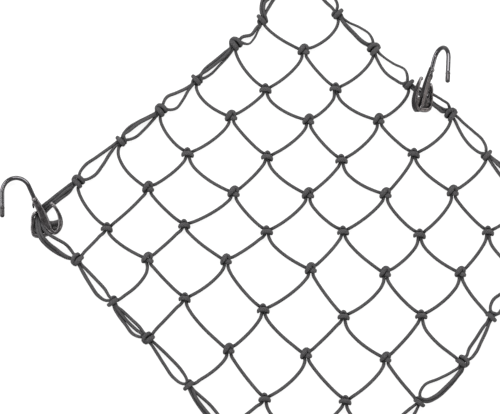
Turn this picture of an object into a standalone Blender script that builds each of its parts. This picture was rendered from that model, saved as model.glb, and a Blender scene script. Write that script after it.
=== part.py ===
"""Cargo net, laid flat: a knotted diamond mesh with a doubled border cord and moulded clips
that carry bent wire hooks.

Metres, +Z up. The net lies on z = 0 as a diamond, its knots' tops towards +Y. The origin is the
middle of the footprint. Lines of knots are counted from the left corner: i runs up the upper left
border to the top corner, j runs down the lower left border to the bottom corner.
"""

import math
from collections import namedtuple

import bmesh
import bpy
import numpy as np
from mathutils import Vector

MM = 0.001
GAP = 0.0003

# ---------------------------------------------------------------- driving sizes, metres
KNOTS_A_SIDE = 8
CORD = 0.0030
CORD_SIDES = 6
LEFT, TOP, RIGHT, BOTTOM = (Vector(p) * MM for p in ((-253, 18), (-6, 268), (253, 3), (5, -270)))
FOOTPRINT_CENTRE = Vector((0.0, -0.001))

KNOT_MIDDLE = 0.0047  # height of the cords where they enter a knot
KNOT_REACH = 0.0055  # a knot's usual radius seen from above
KNOT_CROWN = 0.0050  # how far a knot rises over its middle
KNOT_SOLE = 0.0028  # radius of the flat underside
EXIT = 0.0050  # from a knot's middle to where its cords leave it
BAR_STOP = 0.0057  # from a border knot's middle to where the netting's bar ends
CLEAR_ANGLE = 5  # degrees that a knot's lumps keep from the rim of a leaving cord
TURN_MIDDLE = 0.0017  # height of the cord where it turns a corner under a clip
TURN_REACH, TURN_CROWN, TURN_SOLE = 0.0034, 0.0018, 0.0018

# How far each knot has slipped from an even weave, in mm: a row for each line j of knots, a pair
# (towards +X, towards +Y) for each knot i.
KnotLine = namedtuple("KnotLine", "slips")
KNOT_LINES = (
    KnotLine(((0, 0), (2, 4), (8, 7), (12, 2), (11, -5), (14, -5), (4, -18), (0, 0))),
    KnotLine(((-1, 4), (-7, -2), (-2, 1), (1, -2), (8, -2), (6, -12), (8, -10), (6, -10))),
    KnotLine(((-3, 4), (-4, 9), (-4, 5), (9, 0), (6, -2), (11, -3), (2, -9), (4, -6))),
    KnotLine(((-6, 10), (-5, 11), (0, 11), (4, 2), (9, 1), (6, -3), (7, -1), (1, -3))),
    KnotLine(((-3, 5), (1, 2), (-1, 3), (10, 5), (6, 4), (12, 3), (4, 4), (5, 6))),
    KnotLine(((-4, 3), (-1, -5), (4, 0), (5, -1), (10, 3), (8, 2), (5, 6), (3, 4))),
    KnotLine(((-3, 0), (1, -4), (5, -5), (9, -2), (8, 1), (11, 4), (2, 5), (3, 3))),
    KnotLine(((0, 0), (3, -2), (7, -2), (5, -5), (12, -4), (4, 0), (1, 2), (0, 0))),
)

# The two strands of each border stretch, in mm outwards from the straight line between its
# knots. Every other stretch of a side also carries the netting's own cord from one knot to the
# next, which doubles one of its strands.
Stretch = namedtuple("Stretch", "outer inner doubled")
BorderSide = namedtuple("BorderSide", "name outwards stretches")
BORDER_SIDES = (
    BorderSide("upper_left", 135, (
        Stretch(6, 1, "outer"),
        Stretch(5, -4, None),
        Stretch(4, -5, "outer"),
        Stretch(3, -6, None),
        Stretch(0, -5, "outer"),
        Stretch(-4, -8, None),
        Stretch(7, 0, "outer"),
    )),
    BorderSide("upper_right", 45, (
        Stretch(8, -1, None),
        Stretch(5, -3, "inner"),
        Stretch(3, -8, None),
        Stretch(5, -1, "inner"),
        Stretch(5, -6, None),
        Stretch(4, -4, "inner"),
        Stretch(3, -3, None),
    )),
    BorderSide("lower_left", 225, (
        Stretch(10, -1, "outer"),
        Stretch(6, -2, None),
        Stretch(4, -2, "outer"),
        Stretch(4, -4, None),
        Stretch(4, -4, "outer"),
        Stretch(4, -4, None),
        Stretch(3, -3, "outer"),
    )),
    BorderSide("lower_right", 315, (
        Stretch(3, -3, None),
        Stretch(4, -4, "outer"),
        Stretch(5, -4, None),
        Stretch(7, -4, "outer"),
        Stretch(4, -2, None),
        Stretch(4, -6, "outer"),
        Stretch(3, -3, None),
    )),
)
STRAND_SPLAY = 25  # degrees between a border strand and the border where it leaves a knot
CORNER_EXITS = {"outer": 63, "inner": 20}  # the same from the line to the net's middle, at a corner
DOUBLED = 1.55  # width of two cords side by side, in cords

# How far the bars hang from a straight line, in mm: every other knot pulls its bars tight.
FALLING_LOOSE, FALLING_TIGHT = 6.0, 2.7
RISING_LOOSE, RISING_TIGHT = 5.2, 2.7
EDGE_EXTRA = 2.2
FIRST_RISING_TIGHT = 0.0
BAR_EXIT_DOWN = 26  # degrees from straight down where a bar leaves its upper knot
BAR_EXIT_UP = 60  # degrees from straight up where it enters its lower knot
BAR_SEGMENTS = 4
BAR_SKEW = 0.65  # under 1, the bar hangs lowest near its upper knot
UNEVEN = 0.7  # mm

# ---------------------------------------------------------------- hooks, mm, from the clip's neck
WIRE = 3.9
ARCH_MIDDLE = (-18.0, 6.0)
ARCH_RADIUS = 13.9
SHANK_LEAN = 24.7  # degrees between the clip's shank and the wire's free leg
LEG_END = -8.4
TIP_END = -18.5
TIP_WIDTH = 4.7

CHAMFER = 0.38  # radians between a moulded bar's corner and the start of its chamfer
Section = namedtuple("Section", "across along thick wide")
SHANK_AND_FRONT_PRONG = (
    Section(-0.6, 1.3, 4.8, 4.8),
    Section(0.9, -2.0, 6.0, 5.4),
    Section(6.2, -13.0, 8.0, 6.4),
    Section(10.0, -22.0, 8.6, 7.0),
    Section(14.6, -29.8, 7.0, 7.0),
    Section(18.4, -32.8, 5.0, 7.0),
    Section(22.6, -31.2, 4.6, 7.0),
    Section(25.2, -26.5, 4.4, 6.5),
    Section(24.9, -19.4, 3.7, 5.5),
    Section(21.5, -12.2, 3.0, 4.2),
    Section(16.9, -5.0, 3.0, 3.2),
)
REAR_PRONG = (
    Section(15.5, -31.0, 4.0, 5.6),
    Section(7.6, -36.2, 4.2, 6.2),
    Section(1.2, -36.0, 4.0, 6.2),
    Section(-1.9, -31.0, 3.6, 6.0),
    Section(-2.1, -21.4, 3.6, 5.4),
    Section(-0.9, -15.4, 3.2, 4.4),
    Section(1.3, -12.4, 2.4, 3.0),
)

# Where each hook lies: its neck in mm from the knot it hangs on, the side its wire opens to
# (1 left, -1 right), its turn in the plane of the net, its turn within its own plane, how narrow
# it looks from above, how its two halves slope, and how high its neck is.
Hook = namedtuple("Hook", "name knot neck opens turn tilt narrow clip_slope wire_slope height")
CORNER = {"narrow": 0.99, "clip_slope": 0.05, "wire_slope": 0.138, "height": 8.0, "tilt": 0}
HOOKS = (
    Hook(name="left", knot=(0, 0), neck=(-5.0, 22.4), opens=1, turn=0, **CORNER),
    Hook(name="top", knot=(7, 0), neck=(-5.0, 22.4), opens=1, turn=0, **CORNER),
    Hook(name="right", knot=(7, 7), neck=(5.0, 22.4), opens=-1, turn=0, **CORNER),
    Hook(name="bottom", knot=(0, 7), neck=(5.0, -22.4), opens=1, turn=180, **CORNER),
    Hook(name="side", knot=(7, 3), neck=(20.2, 14.2), opens=-1, turn=0, tilt=-8,
         narrow=0.54, clip_slope=0.55, wire_slope=-0.62, height=18.0),
)
SIDE_HOOK_STRETCH = ("upper_right", 3)


# ---------------------------------------------------------------- scene and materials
def clear_scene():
    for item in list(bpy.data.objects):
        bpy.data.objects.remove(item, do_unlink=True)


def make_collection(name):
    group = bpy.data.collections.new(name)
    bpy.context.scene.collection.children.link(group)
    return group


def make_material(name, colour, roughness, metallic=0.0):
    material = bpy.data.materials.new(name)
    material.use_nodes = True
    shader = material.node_tree.nodes["Principled BSDF"]
    shader.inputs["Base Color"].default_value = (*colour, 1.0)
    shader.inputs["Roughness"].default_value = roughness
    shader.inputs["Metallic"].default_value = metallic
    return material


def add_object(name, data, material, group):
    data.materials.append(material)
    item = bpy.data.objects.new(name, data)
    group.objects.link(item)
    return item


# ---------------------------------------------------------------- the lattice of knots
def knot_place(i, j):
    """Place of knot (i, j) in the plane: an even weave between the corners, plus its slip."""
    s, t = i / (KNOTS_A_SIDE - 1), j / (KNOTS_A_SIDE - 1)
    even = (1 - s) * (1 - t) * LEFT + s * (1 - t) * TOP + s * t * RIGHT + (1 - s) * t * BOTTOM
    slip = Vector(KNOT_LINES[j].slips[i]) * MM
    return even + slip - FOOTPRINT_CENTRE


def is_corner(i, j):
    last = KNOTS_A_SIDE - 1
    return i in (0, last) and j in (0, last)


def is_border(i, j):
    last = KNOTS_A_SIDE - 1
    return i in (0, last) or j in (0, last)


def knot_middle(i, j):
    """A knot's middle, in space."""
    height = TURN_MIDDLE if is_corner(i, j) else KNOT_MIDDLE
    return Vector((*knot_place(i, j), height))


def flat_direction(degrees):
    angle = math.radians(degrees)
    return Vector((math.cos(angle), math.sin(angle), 0.0))


# ---------------------------------------------------------------- cords as rings of points
def ring_points(middle, direction, width=CORD, height=CORD):
    """A ring of points around middle, square to direction, numbered from its side."""
    side = direction.cross(Vector((0, 0, 1))).normalized()
    up = side.cross(direction).normalized()
    points = []
    for k in range(CORD_SIDES):
        angle = 2 * math.pi * k / CORD_SIDES
        points.append(middle + side * math.cos(angle) * width / 2 + up * math.sin(angle) * height / 2)
    return points


def bridge(mesh, ring_a, ring_b):
    """Faces between two rings that run the same way."""
    for k in range(CORD_SIDES):
        n = (k + 1) % CORD_SIDES
        mesh.faces.new((ring_a[k], ring_a[n], ring_b[n], ring_b[k]))


def turned_about(ring):
    """A ring made for the other direction, renumbered to run along this one."""
    half = CORD_SIDES // 2
    return [ring[(half - k) % CORD_SIDES] for k in range(CORD_SIDES)]


def run_cord(mesh, first, last, path, widths):
    """Carries a cord from ring first to ring last through the points of path."""
    rings = [first]
    for k in range(1, len(path) - 1):
        direction = (path[k + 1] - path[k - 1]).normalized()
        points = ring_points(path[k], direction, CORD * widths[k], CORD)
        rings.append([mesh.verts.new(p) for p in points])
    rings.append(turned_about(last))
    for ring_a, ring_b in zip(rings, rings[1:]):
        bridge(mesh, ring_a, ring_b)


# ---------------------------------------------------------------- knots
Exit = namedtuple("Exit", "key direction")
# Belts of points on a knot: (degrees over its middle, how many around, the first one's degrees).
KNOT_BELTS = ((62, 5, 18), (30, 8, 0), (0, 12, 15), (-32, 7, 0))
TURN_BELTS = ((90, 1, 0), (45, 5, 0))


def lump(kind, around, above):
    """How far a knot stands out in a direction, as a share of its radius.

    A plain knot has a band straight across its crown and a bight on its +Y side; a turned one
    shows its other side, with a slanting strand and two lobes.
    """
    lean = 0 if kind == "band" else 55
    across = math.cos(math.radians(around - lean))
    along = math.sin(math.radians(around - lean))
    ridge = 0.10 * math.exp(-((along / 0.45) ** 2)) if above > 10 else 0.0
    bight = 0.13 * max(0.0, along) ** 4 if kind == "band" else 0.10 * abs(across) ** 3
    groove = -0.06 * math.exp(-(((along - 0.6) / 0.25) ** 2)) if above > 10 else 0.0
    return 1.0 + ridge + bight + groove


def knot_surface(kind, middle):
    """Points on a knot's surface away from its cords."""
    if kind == "turn":
        reach, crown, sole, belts = TURN_REACH, TURN_CROWN, TURN_SOLE, TURN_BELTS
    else:
        reach, crown, sole, belts = KNOT_REACH, KNOT_CROWN, KNOT_SOLE, KNOT_BELTS
    points = []
    for above, count, first in belts:
        for k in range(count):
            around = first + 360 * k / count
            flat = flat_direction(around) * math.cos(math.radians(above)) * reach
            rise = math.sin(math.radians(above)) * (crown if above > 0 else reach)
            share = 1.0 if kind == "turn" else lump(kind, around, above)
            points.append(middle + (flat + Vector((0, 0, rise))) * share)
    for k in range(5):
        foot = middle + flat_direction(36 + 72 * k) * sole
        foot.z = 0.0
        points.append(foot)
    return points


def add_knot(mesh, kind, middle, exits, keep_off=()):
    """A knot's solid, open where its cords leave it; returns the rings of those openings.

    Directions from the middle are laid on a round ball, whose hull gives the faces; each point
    then goes out to its own place.
    """
    rings, directions, places, owners = {}, [], [], []
    margin = math.degrees(math.atan2(CORD / 2, EXIT)) + CLEAR_ANGLE
    for leaving in exits:
        place = middle + leaving.direction * EXIT
        for point in ring_points(place, leaving.direction):
            places.append(point)
            owners.append(leaving.key)
    for point in knot_surface(kind, middle):
        away = (point - middle).normalized()
        if all(math.degrees(away.angle(leaving.direction)) > margin for leaving in exits):
            for direction in keep_off:
                reach = (point - middle).dot(direction)
                point -= direction * max(0.0, reach - (EXIT - GAP))
            places.append(point)
            owners.append(None)
    ball = bmesh.new()
    for place in places:
        ball.verts.new((place - middle).normalized())
    ball.verts.ensure_lookup_table()
    ball.verts.index_update()
    order = {v: k for k, v in enumerate(ball.verts)}
    bmesh.ops.convex_hull(ball, input=list(ball.verts))
    verts = [mesh.verts.new(place) for place in places]
    for face in ball.faces:
        corners = [order[v] for v in face.verts]
        owner = {owners[k] for k in corners}
        if len(owner) > 1 or None in owner:
            mesh.faces.new([verts[k] for k in corners])
    ball.free()
    for leaving in exits:
        rings[leaving.key] = [v for v, owner in zip(verts, owners) if owner == leaving.key]
    return rings


# ---------------------------------------------------------------- netting
def bar_hang(i, j, rising, jitter):
    """How far the bar from knot (i, j) hangs from a straight line."""
    loose = (i + j) % 2 == 0
    if rising:
        hang = RISING_LOOSE if loose else RISING_TIGHT
        if i == KNOTS_A_SIDE - 2:
            hang += EDGE_EXTRA
        if i == 0:
            hang = RISING_LOOSE + EDGE_EXTRA if loose else FIRST_RISING_TIGHT
    else:
        hang = FALLING_LOOSE if loose else FALLING_TIGHT
        if j == 0:
            hang = FALLING_LOOSE + EDGE_EXTRA
    return (hang + UNEVEN * jitter) * MM


def bar_path(upper, lower, start, end, hang):
    """A hanging bar's middle line, from its upper knot to its lower one."""
    chord = lower - upper
    down = Vector((chord.y, -chord.x, 0)) if chord.x < 0 else Vector((-chord.y, chord.x, 0))
    down = -down.normalized() if down.y > 0 else down.normalized()
    lowest = BAR_SKEW / (1 + BAR_SKEW)
    most = (1 - lowest) * lowest**BAR_SKEW
    path = [start]
    for k in range(1, BAR_SEGMENTS):
        f = k / BAR_SEGMENTS
        path.append(upper + chord * f + down * hang * (1 - f) * f**BAR_SKEW / most)
    return path + [end]


def bars():
    """Every bar of the netting as (i, j, rising, upper knot, lower knot)."""
    for j in range(KNOTS_A_SIDE):
        for i in range(KNOTS_A_SIDE):
            if i < KNOTS_A_SIDE - 1 and 0 < j < KNOTS_A_SIDE - 1:
                yield i, j, True, (i + 1, j), (i, j)
            if j < KNOTS_A_SIDE - 1 and 0 < i < KNOTS_A_SIDE - 1:
                yield i, j, False, (i, j), (i, j + 1)


def bar_directions(rising):
    """Which way a bar leaves its upper knot and its lower one."""
    turn = -1 if rising else 1
    return flat_direction(-90 + turn * BAR_EXIT_DOWN), flat_direction(90 + turn * BAR_EXIT_UP)


def cap_ring(mesh, middle, direction):
    """The closed end of a bar that stops at a border knot; direction leaves that knot."""
    ring = [mesh.verts.new(p) for p in ring_points(middle, direction)]
    mesh.faces.new(ring)
    return ring


def make_netting(material, group):
    mesh = bmesh.new()
    leaving = {}
    for i, j, rising, upper, lower in bars():
        from_upper, from_lower = bar_directions(rising)
        leaving.setdefault(upper, []).append(Exit((i, j, rising), from_upper))
        leaving.setdefault(lower, []).append(Exit((i, j, rising), from_lower))
    rings = {}
    for knot, exits in leaving.items():
        if is_border(*knot):
            for way in exits:
                place = knot_middle(*knot) + way.direction * BAR_STOP
                rings[knot, way.key] = cap_ring(mesh, place, way.direction), place
        else:
            kind = "band" if sum(knot) % 2 == 0 else "slant"
            made = add_knot(mesh, kind, knot_middle(*knot), exits)
            for way in exits:
                place = knot_middle(*knot) + way.direction * EXIT
                rings[knot, way.key] = made[way.key], place
    random = np.random.default_rng(7)
    for i, j, rising, upper, lower in bars():
        first, start = rings[upper, (i, j, rising)]
        last, end = rings[lower, (i, j, rising)]
        hang = bar_hang(i, j, rising, random.uniform(-1, 1))
        path = bar_path(knot_middle(*upper), knot_middle(*lower), start, end, hang)
        run_cord(mesh, first, last, path, [1.0] * len(path))
    return finish_mesh("netting", mesh, material, group)


def finish_mesh(name, mesh, material, group):
    bmesh.ops.recalc_face_normals(mesh, faces=mesh.faces)
    bmesh.ops.triangulate(mesh, faces=mesh.faces)
    data = bpy.data.meshes.new(name)
    mesh.to_mesh(data)
    mesh.free()
    item = add_object(name, data, material, group)
    data.shade_smooth()
    return item


# ---------------------------------------------------------------- border cord
def border_knots(side):
    """The eight knots along a side, from its left or lower corner to the other one."""
    last = KNOTS_A_SIDE - 1
    for k in range(KNOTS_A_SIDE):
        yield {"upper_left": (k, 0), "upper_right": (last, k),
               "lower_left": (0, k), "lower_right": (k, last)}[side.name]


def inner_bar(knot):
    """Which way the netting's bar leaves a border knot."""
    i, j = knot
    last = KNOTS_A_SIDE - 1
    if is_corner(i, j):
        return ()
    down_left, up_right = bar_directions(True)
    down_right, up_left = bar_directions(False)
    return ({True: down_right}.get(j == 0) or {True: up_left}.get(j == last)
            or {True: up_right}.get(i == 0) or down_left,)


def corner_exit(knot, heading, name):
    """Which way a strand leaves a corner; its inner strands leave nearer the net's middle."""
    if not is_corner(*knot):
        return None
    inwards = math.degrees(math.atan2(*reversed(-knot_place(*knot))))
    turn = 1 if flat_direction(inwards + 90).dot(flat_direction(heading)) > 0 else -1
    return flat_direction(inwards + turn * CORNER_EXITS[name])


def stretch_height(side, k, f):
    """Height of a border stretch's middle line at share f of its length."""
    low_start = is_corner(*list(border_knots(side))[k])
    low_end = is_corner(*list(border_knots(side))[k + 1])
    if (side.name, k) == SIDE_HOOK_STRETCH:
        share = abs(f - 0.45) / 0.55
        return TURN_MIDDLE + (KNOT_MIDDLE - TURN_MIDDLE) * min(1.0, share) ** 3
    if low_start or low_end:
        away = f if low_start else 1 - f
        return TURN_MIDDLE + (KNOT_MIDDLE - TURN_MIDDLE) * away**2.4
    return KNOT_MIDDLE


def make_border(material, group):
    mesh = bmesh.new()
    leaving, stretches = {}, []
    for side in BORDER_SIDES:
        knots = list(border_knots(side))
        out = flat_direction(side.outwards)
        for k, stretch in enumerate(side.stretches):
            a, b = knots[k], knots[k + 1]
            way = (knot_middle(*b) - knot_middle(*a))
            way.z = 0
            heading = math.degrees(math.atan2(way.y, way.x))
            turn = 1 if out.dot(flat_direction(heading + 90)) > 0 else -1
            for name, offset, outer in (("outer", stretch.outer, 1), ("inner", stretch.inner, -1)):
                key = (side.name, k, name)
                width = DOUBLED if stretch.doubled == name else 1.0
                splay = turn * outer * STRAND_SPLAY
                leave_a = corner_exit(a, heading, name) or flat_direction(heading + splay)
                leave_b = (corner_exit(b, heading + 180, name)
                           or flat_direction(heading + 180 - splay))
                leaving.setdefault(a, []).append(Exit(key, leave_a))
                leaving.setdefault(b, []).append(Exit(key, leave_b))
                stretches.append((key, side, k, a, b, leave_a, leave_b, offset * MM, width))
    rings = {}
    for knot, exits in leaving.items():
        corner = is_corner(*knot)
        kind = "turn" if corner else "band" if sum(knot) % 2 == 0 else "slant"
        made = add_knot(mesh, kind, knot_middle(*knot), exits, inner_bar(knot))
        for way in exits:
            rings[knot, way.key] = made[way.key]
    for key, side, k, a, b, leave_a, leave_b, offset, width in stretches:
        start, end = knot_middle(*a), knot_middle(*b)
        path, widths = [start + leave_a * EXIT], [1.0]
        straight = Vector((end.x - start.x, end.y - start.y, 0))
        out = flat_direction(math.degrees(math.atan2(straight.y, straight.x)) + 90)
        out = out if out.dot(flat_direction(side.outwards)) > 0 else -out
        for n in range(1, BAR_SEGMENTS):
            f = n / BAR_SEGMENTS
            point = start + straight * f + out * offset * math.sin(math.pi * f) ** 0.8
            point.z = stretch_height(side, k, f)
            path.append(point)
            widths.append(width)
        path.append(end + leave_b * EXIT)
        widths.append(1.0)
        run_cord(mesh, rings[a, key], rings[b, key], path, widths)
    return finish_mesh("border_cord", mesh, material, group)


# ---------------------------------------------------------------- hooks
def hook_place(hook, across, along, wide=0.0, slope=None):
    """A point of a hook, from its own plane to its place on the net."""
    slope = hook.clip_slope if slope is None else slope
    tilt = math.radians(hook.tilt)
    a = across * math.cos(tilt) - along * math.sin(tilt)
    b = across * math.sin(tilt) + along * math.cos(tilt)
    off_axis = a + b * math.tan(math.radians(SHANK_LEAN))
    length = math.hypot(hook.narrow, slope)
    x = hook.opens * (a * hook.narrow - wide * slope / length)
    z = hook.height + off_axis * slope + wide * hook.narrow / length
    turn = math.radians(hook.turn)
    flat = Vector((x * math.cos(turn) - b * math.sin(turn), x * math.sin(turn) + b * math.cos(turn)))
    at = knot_place(*hook.knot) + (Vector(hook.neck) + flat) * MM
    return Vector((at.x, at.y, z * MM))


def with_halfway(rows):
    """The rows of a table of sections, with one more between each two, on a smooth curve."""
    table = np.array(rows)
    ends = np.vstack([2 * table[0] - table[1], table, 2 * table[-1] - table[-2]])
    sections = [table[0]]
    for before, a, b, after in zip(ends, ends[1:], ends[2:], ends[3:]):
        sections += [(9 * (a + b) - before - after) / 16, b]
    return sections


def prong_mesh(name, hook, rows):
    """A moulded bar carried along a table of sections, with chamfered edges."""
    sections = with_halfway(rows)
    mesh = bmesh.new()
    rings = []
    for k, (across, along, thick, wide) in enumerate(sections):
        before, after = sections[max(k - 1, 0)], sections[min(k + 1, len(sections) - 1)]
        way = Vector((after[0] - before[0], after[1] - before[1])).normalized()
        square = Vector((-way.y, way.x))
        ring = []
        for corner in range(8):
            quarter, first = divmod(corner, 2)
            angle = math.pi / 2 * quarter + (CHAMFER if first else -CHAMFER) + math.pi / 4
            s, w = (max(-1, min(1, v * 1.4)) for v in (math.cos(angle), math.sin(angle)))
            point = square * s * thick / 2
            place = hook_place(hook, across + point.x, along + point.y, w * wide / 2)
            ring.append(mesh.verts.new(place))
        rings.append(ring)
    for ring_a, ring_b in zip(rings, rings[1:]):
        for k in range(8):
            n = (k + 1) % 8
            mesh.faces.new((ring_a[k], ring_a[n], ring_b[n], ring_b[k]))
    mesh.faces.new(rings[0])
    mesh.faces.new(rings[-1])
    bmesh.ops.recalc_face_normals(mesh, faces=mesh.faces)
    data = bpy.data.meshes.new(name)
    mesh.to_mesh(data)
    mesh.free()
    return data


def make_clip(hook, material, group, cutters):
    """The moulded clip: its shank and front prong, joined to its rear prong."""
    clip = add_object(f"hook_clip_{hook.name}",
                      prong_mesh("clip", hook, SHANK_AND_FRONT_PRONG), material, group)
    rear = add_object(f"rear_prong_{hook.name}",
                      prong_mesh("rear_prong", hook, REAR_PRONG), material, cutters)
    rear.hide_render = True
    rear.display_type = "WIRE"
    join = clip.modifiers.new("join", "BOOLEAN")
    join.operation = "UNION"
    join.solver = "EXACT"
    join.object = rear
    return clip


def tube(name, points, width, material, group, shares=None):
    """A round bar through points; shares gives its width at each point."""
    curve = bpy.data.curves.new(name, "CURVE")
    curve.dimensions = "3D"
    curve.bevel_depth = width / 2
    curve.bevel_resolution = 2
    curve.use_fill_caps = True
    spline = curve.splines.new("POLY")
    spline.points.add(len(points) - 1)
    for k, (spot, point) in enumerate(zip(spline.points, points)):
        spot.co = (*point, 1.0)
        spot.radius = 1.0 if shares is None else shares[k]
    return add_object(name, curve, material, group)


def make_wire(hook, material, group):
    """The bent wire: straight out of the clip, over the arch and down its free leg."""
    lean = math.radians(SHANK_LEAN)
    start = 1.3 + GAP / MM + 0.1
    line = [(-start * math.tan(lean), start)]
    steps = 8
    for k in range(steps + 1):
        angle = lean + (math.pi - lean) * k / steps
        line.append((ARCH_MIDDLE[0] + ARCH_RADIUS * math.cos(angle),
                     ARCH_MIDDLE[1] + ARCH_RADIUS * math.sin(angle)))
    line.append((ARCH_MIDDLE[0] - ARCH_RADIUS, LEG_END))
    points = [hook_place(hook, a, b, slope=hook.wire_slope) for a, b in line]
    return tube(f"hook_wire_{hook.name}", points, WIRE * MM, material, group)


def make_tip(hook, material, group):
    """The sleeve on the wire's end, with a rounded nose."""
    length = LEG_END - TIP_END
    across = ARCH_MIDDLE[0] - ARCH_RADIUS
    rows = ((0.0, 1.0), (0.62, 1.0), (0.88, 0.9), (0.985, 0.55))
    points = [
        hook_place(hook, across, LEG_END - GAP / MM - 0.05 - length * share, slope=hook.wire_slope)
        for share, _ in rows
    ]
    return tube(f"hook_tip_{hook.name}", points, TIP_WIDTH * MM, material, group,
                [width for _, width in rows])


def main():
    clear_scene()
    parts = make_collection("cargo_net")
    cutters = make_collection("cutters")
    cord = make_material("cord", (0.085, 0.085, 0.09), 0.85)
    enamel = make_material("enamelled_wire", (0.035, 0.034, 0.038), 0.25, 0.4)
    moulded = make_material("moulded_plastic", (0.05, 0.048, 0.05), 0.42)
    make_netting(cord, parts)
    make_border(cord, parts)
    for hook in HOOKS:
        make_clip(hook, moulded, parts, cutters)
        make_wire(hook, enamel, parts)
        make_tip(hook, moulded, parts)


main()
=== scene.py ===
"""Cargo net laid flat: braided netting tied to two rings of border cord, with clips and wire hooks.

Metres, +Z up. The cords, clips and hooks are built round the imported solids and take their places.
Tables are in millimetres, as a net maker would write them down. Lines of knots are counted from
the left corner: i runs up the upper left border, j down the lower left border.
"""

import logging
import math
from dataclasses import dataclass, field
from enum import Enum

import bpy
import numpy as np
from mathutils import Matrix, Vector


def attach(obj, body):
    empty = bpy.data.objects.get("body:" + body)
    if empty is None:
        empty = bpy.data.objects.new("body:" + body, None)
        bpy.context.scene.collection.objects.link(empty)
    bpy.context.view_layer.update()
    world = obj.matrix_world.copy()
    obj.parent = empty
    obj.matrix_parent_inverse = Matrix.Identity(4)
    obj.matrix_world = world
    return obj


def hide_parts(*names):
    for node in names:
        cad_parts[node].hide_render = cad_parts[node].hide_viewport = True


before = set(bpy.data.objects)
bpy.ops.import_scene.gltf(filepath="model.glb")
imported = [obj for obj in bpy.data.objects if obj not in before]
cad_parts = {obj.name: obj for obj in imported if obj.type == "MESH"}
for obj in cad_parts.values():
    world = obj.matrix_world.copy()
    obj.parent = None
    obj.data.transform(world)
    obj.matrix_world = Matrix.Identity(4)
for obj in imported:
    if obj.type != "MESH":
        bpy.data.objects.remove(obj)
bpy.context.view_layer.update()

MM = 0.001
CORD = 3.0
KNOTS_A_SIDE = 8
LAST = KNOTS_A_SIDE - 1
LEFT, TOP, RIGHT, BOTTOM = (0, 0), (LAST, 0), (LAST, LAST), (0, LAST)
# Rows that stand closer than this along a cord, in mm, belong to a tight bend.
TIGHT_BEND = 4.5
TINY = 1e-9
# The columns of a cord's rows: its place, its size and the direction of its flat side.
PLACE, SIZE, FLAT_SIDE, FLAT_SIDE_PLAN = slice(0, 3), slice(3, 5), slice(5, 8), slice(5, 7)
log = logging.getLogger("cargo_net")


# ------------------------------------------------------------------ where the knots lie
@dataclass(frozen=True)
class Lattice:
    """The lattice of knots, in mm: an even weave between four corners, and how far each slipped.

    A row of slips is a line j of knots, a pair (towards +X, towards +Y) for each knot i.
    """

    left: tuple = (-253, 19)
    top: tuple = (-6, 269)
    right: tuple = (253, 4)
    bottom: tuple = (5, -269)
    slips: tuple = (
        ((0, 0), (2, 4), (8, 7), (12, 2), (11, -5), (14, -5), (4, -18), (0, 0)),
        ((-1, 4), (-7, -2), (-2, 1), (1, -2), (8, -2), (6, -12), (8, -10), (6, -10)),
        ((-3, 4), (-4, 9), (-4, 5), (9, 0), (6, -2), (11, -3), (2, -9), (4, -6)),
        ((-6, 10), (-5, 11), (0, 11), (4, 2), (9, 1), (6, -3), (7, -1), (1, -3)),
        ((-3, 5), (1, 2), (-1, 3), (10, 5), (6, 4), (12, 3), (4, 4), (5, 6)),
        ((-4, 3), (-1, -5), (4, 0), (5, -1), (10, 3), (8, 2), (5, 6), (3, 4)),
        ((-3, 0), (1, -4), (5, -5), (9, -2), (8, 1), (11, 4), (2, 5), (3, 3)),
        ((0, 0), (3, -2), (7, -2), (5, -5), (12, -4), (4, 0), (1, 2), (0, 0)),
    )

    def place(self, knot: tuple) -> np.ndarray:
        """Where a knot lies in the plane.

        The even weave is the two-way blend of the four corners: a share s = i / 7 along one side
        and t = j / 7 along the other.

        Args:
            knot: the knot's (i, j).

        Returns:
            Its (x, y), in mm.
        """
        s, t = knot[0] / LAST, knot[1] / LAST
        corners = np.array([self.left, self.top, self.right, self.bottom], float)
        shares = np.array([(1 - s) * (1 - t), s * (1 - t), s * t, (1 - s) * t])
        return shares @ corners + np.array(self.slips[knot[1]][knot[0]], float)


LATTICE = Lattice()


def is_border(knot: tuple) -> bool:
    """Whether a knot sits on the border cords."""
    return knot[0] in (0, LAST) or knot[1] in (0, LAST)


def turned(points: np.ndarray, degrees: float) -> np.ndarray:
    """Rows of points whose first two columns are turned about the origin.

    Args:
        points: rows that start with x and y.
        degrees: the turn, anticlockwise.

    Returns:
        A turned copy.
    """
    angle = math.radians(degrees)
    turn = np.array([[math.cos(angle), math.sin(angle)], [-math.sin(angle), math.cos(angle)]])
    out = np.array(points, float)
    out[:, :2] = out[:, :2] @ turn
    return out


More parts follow.
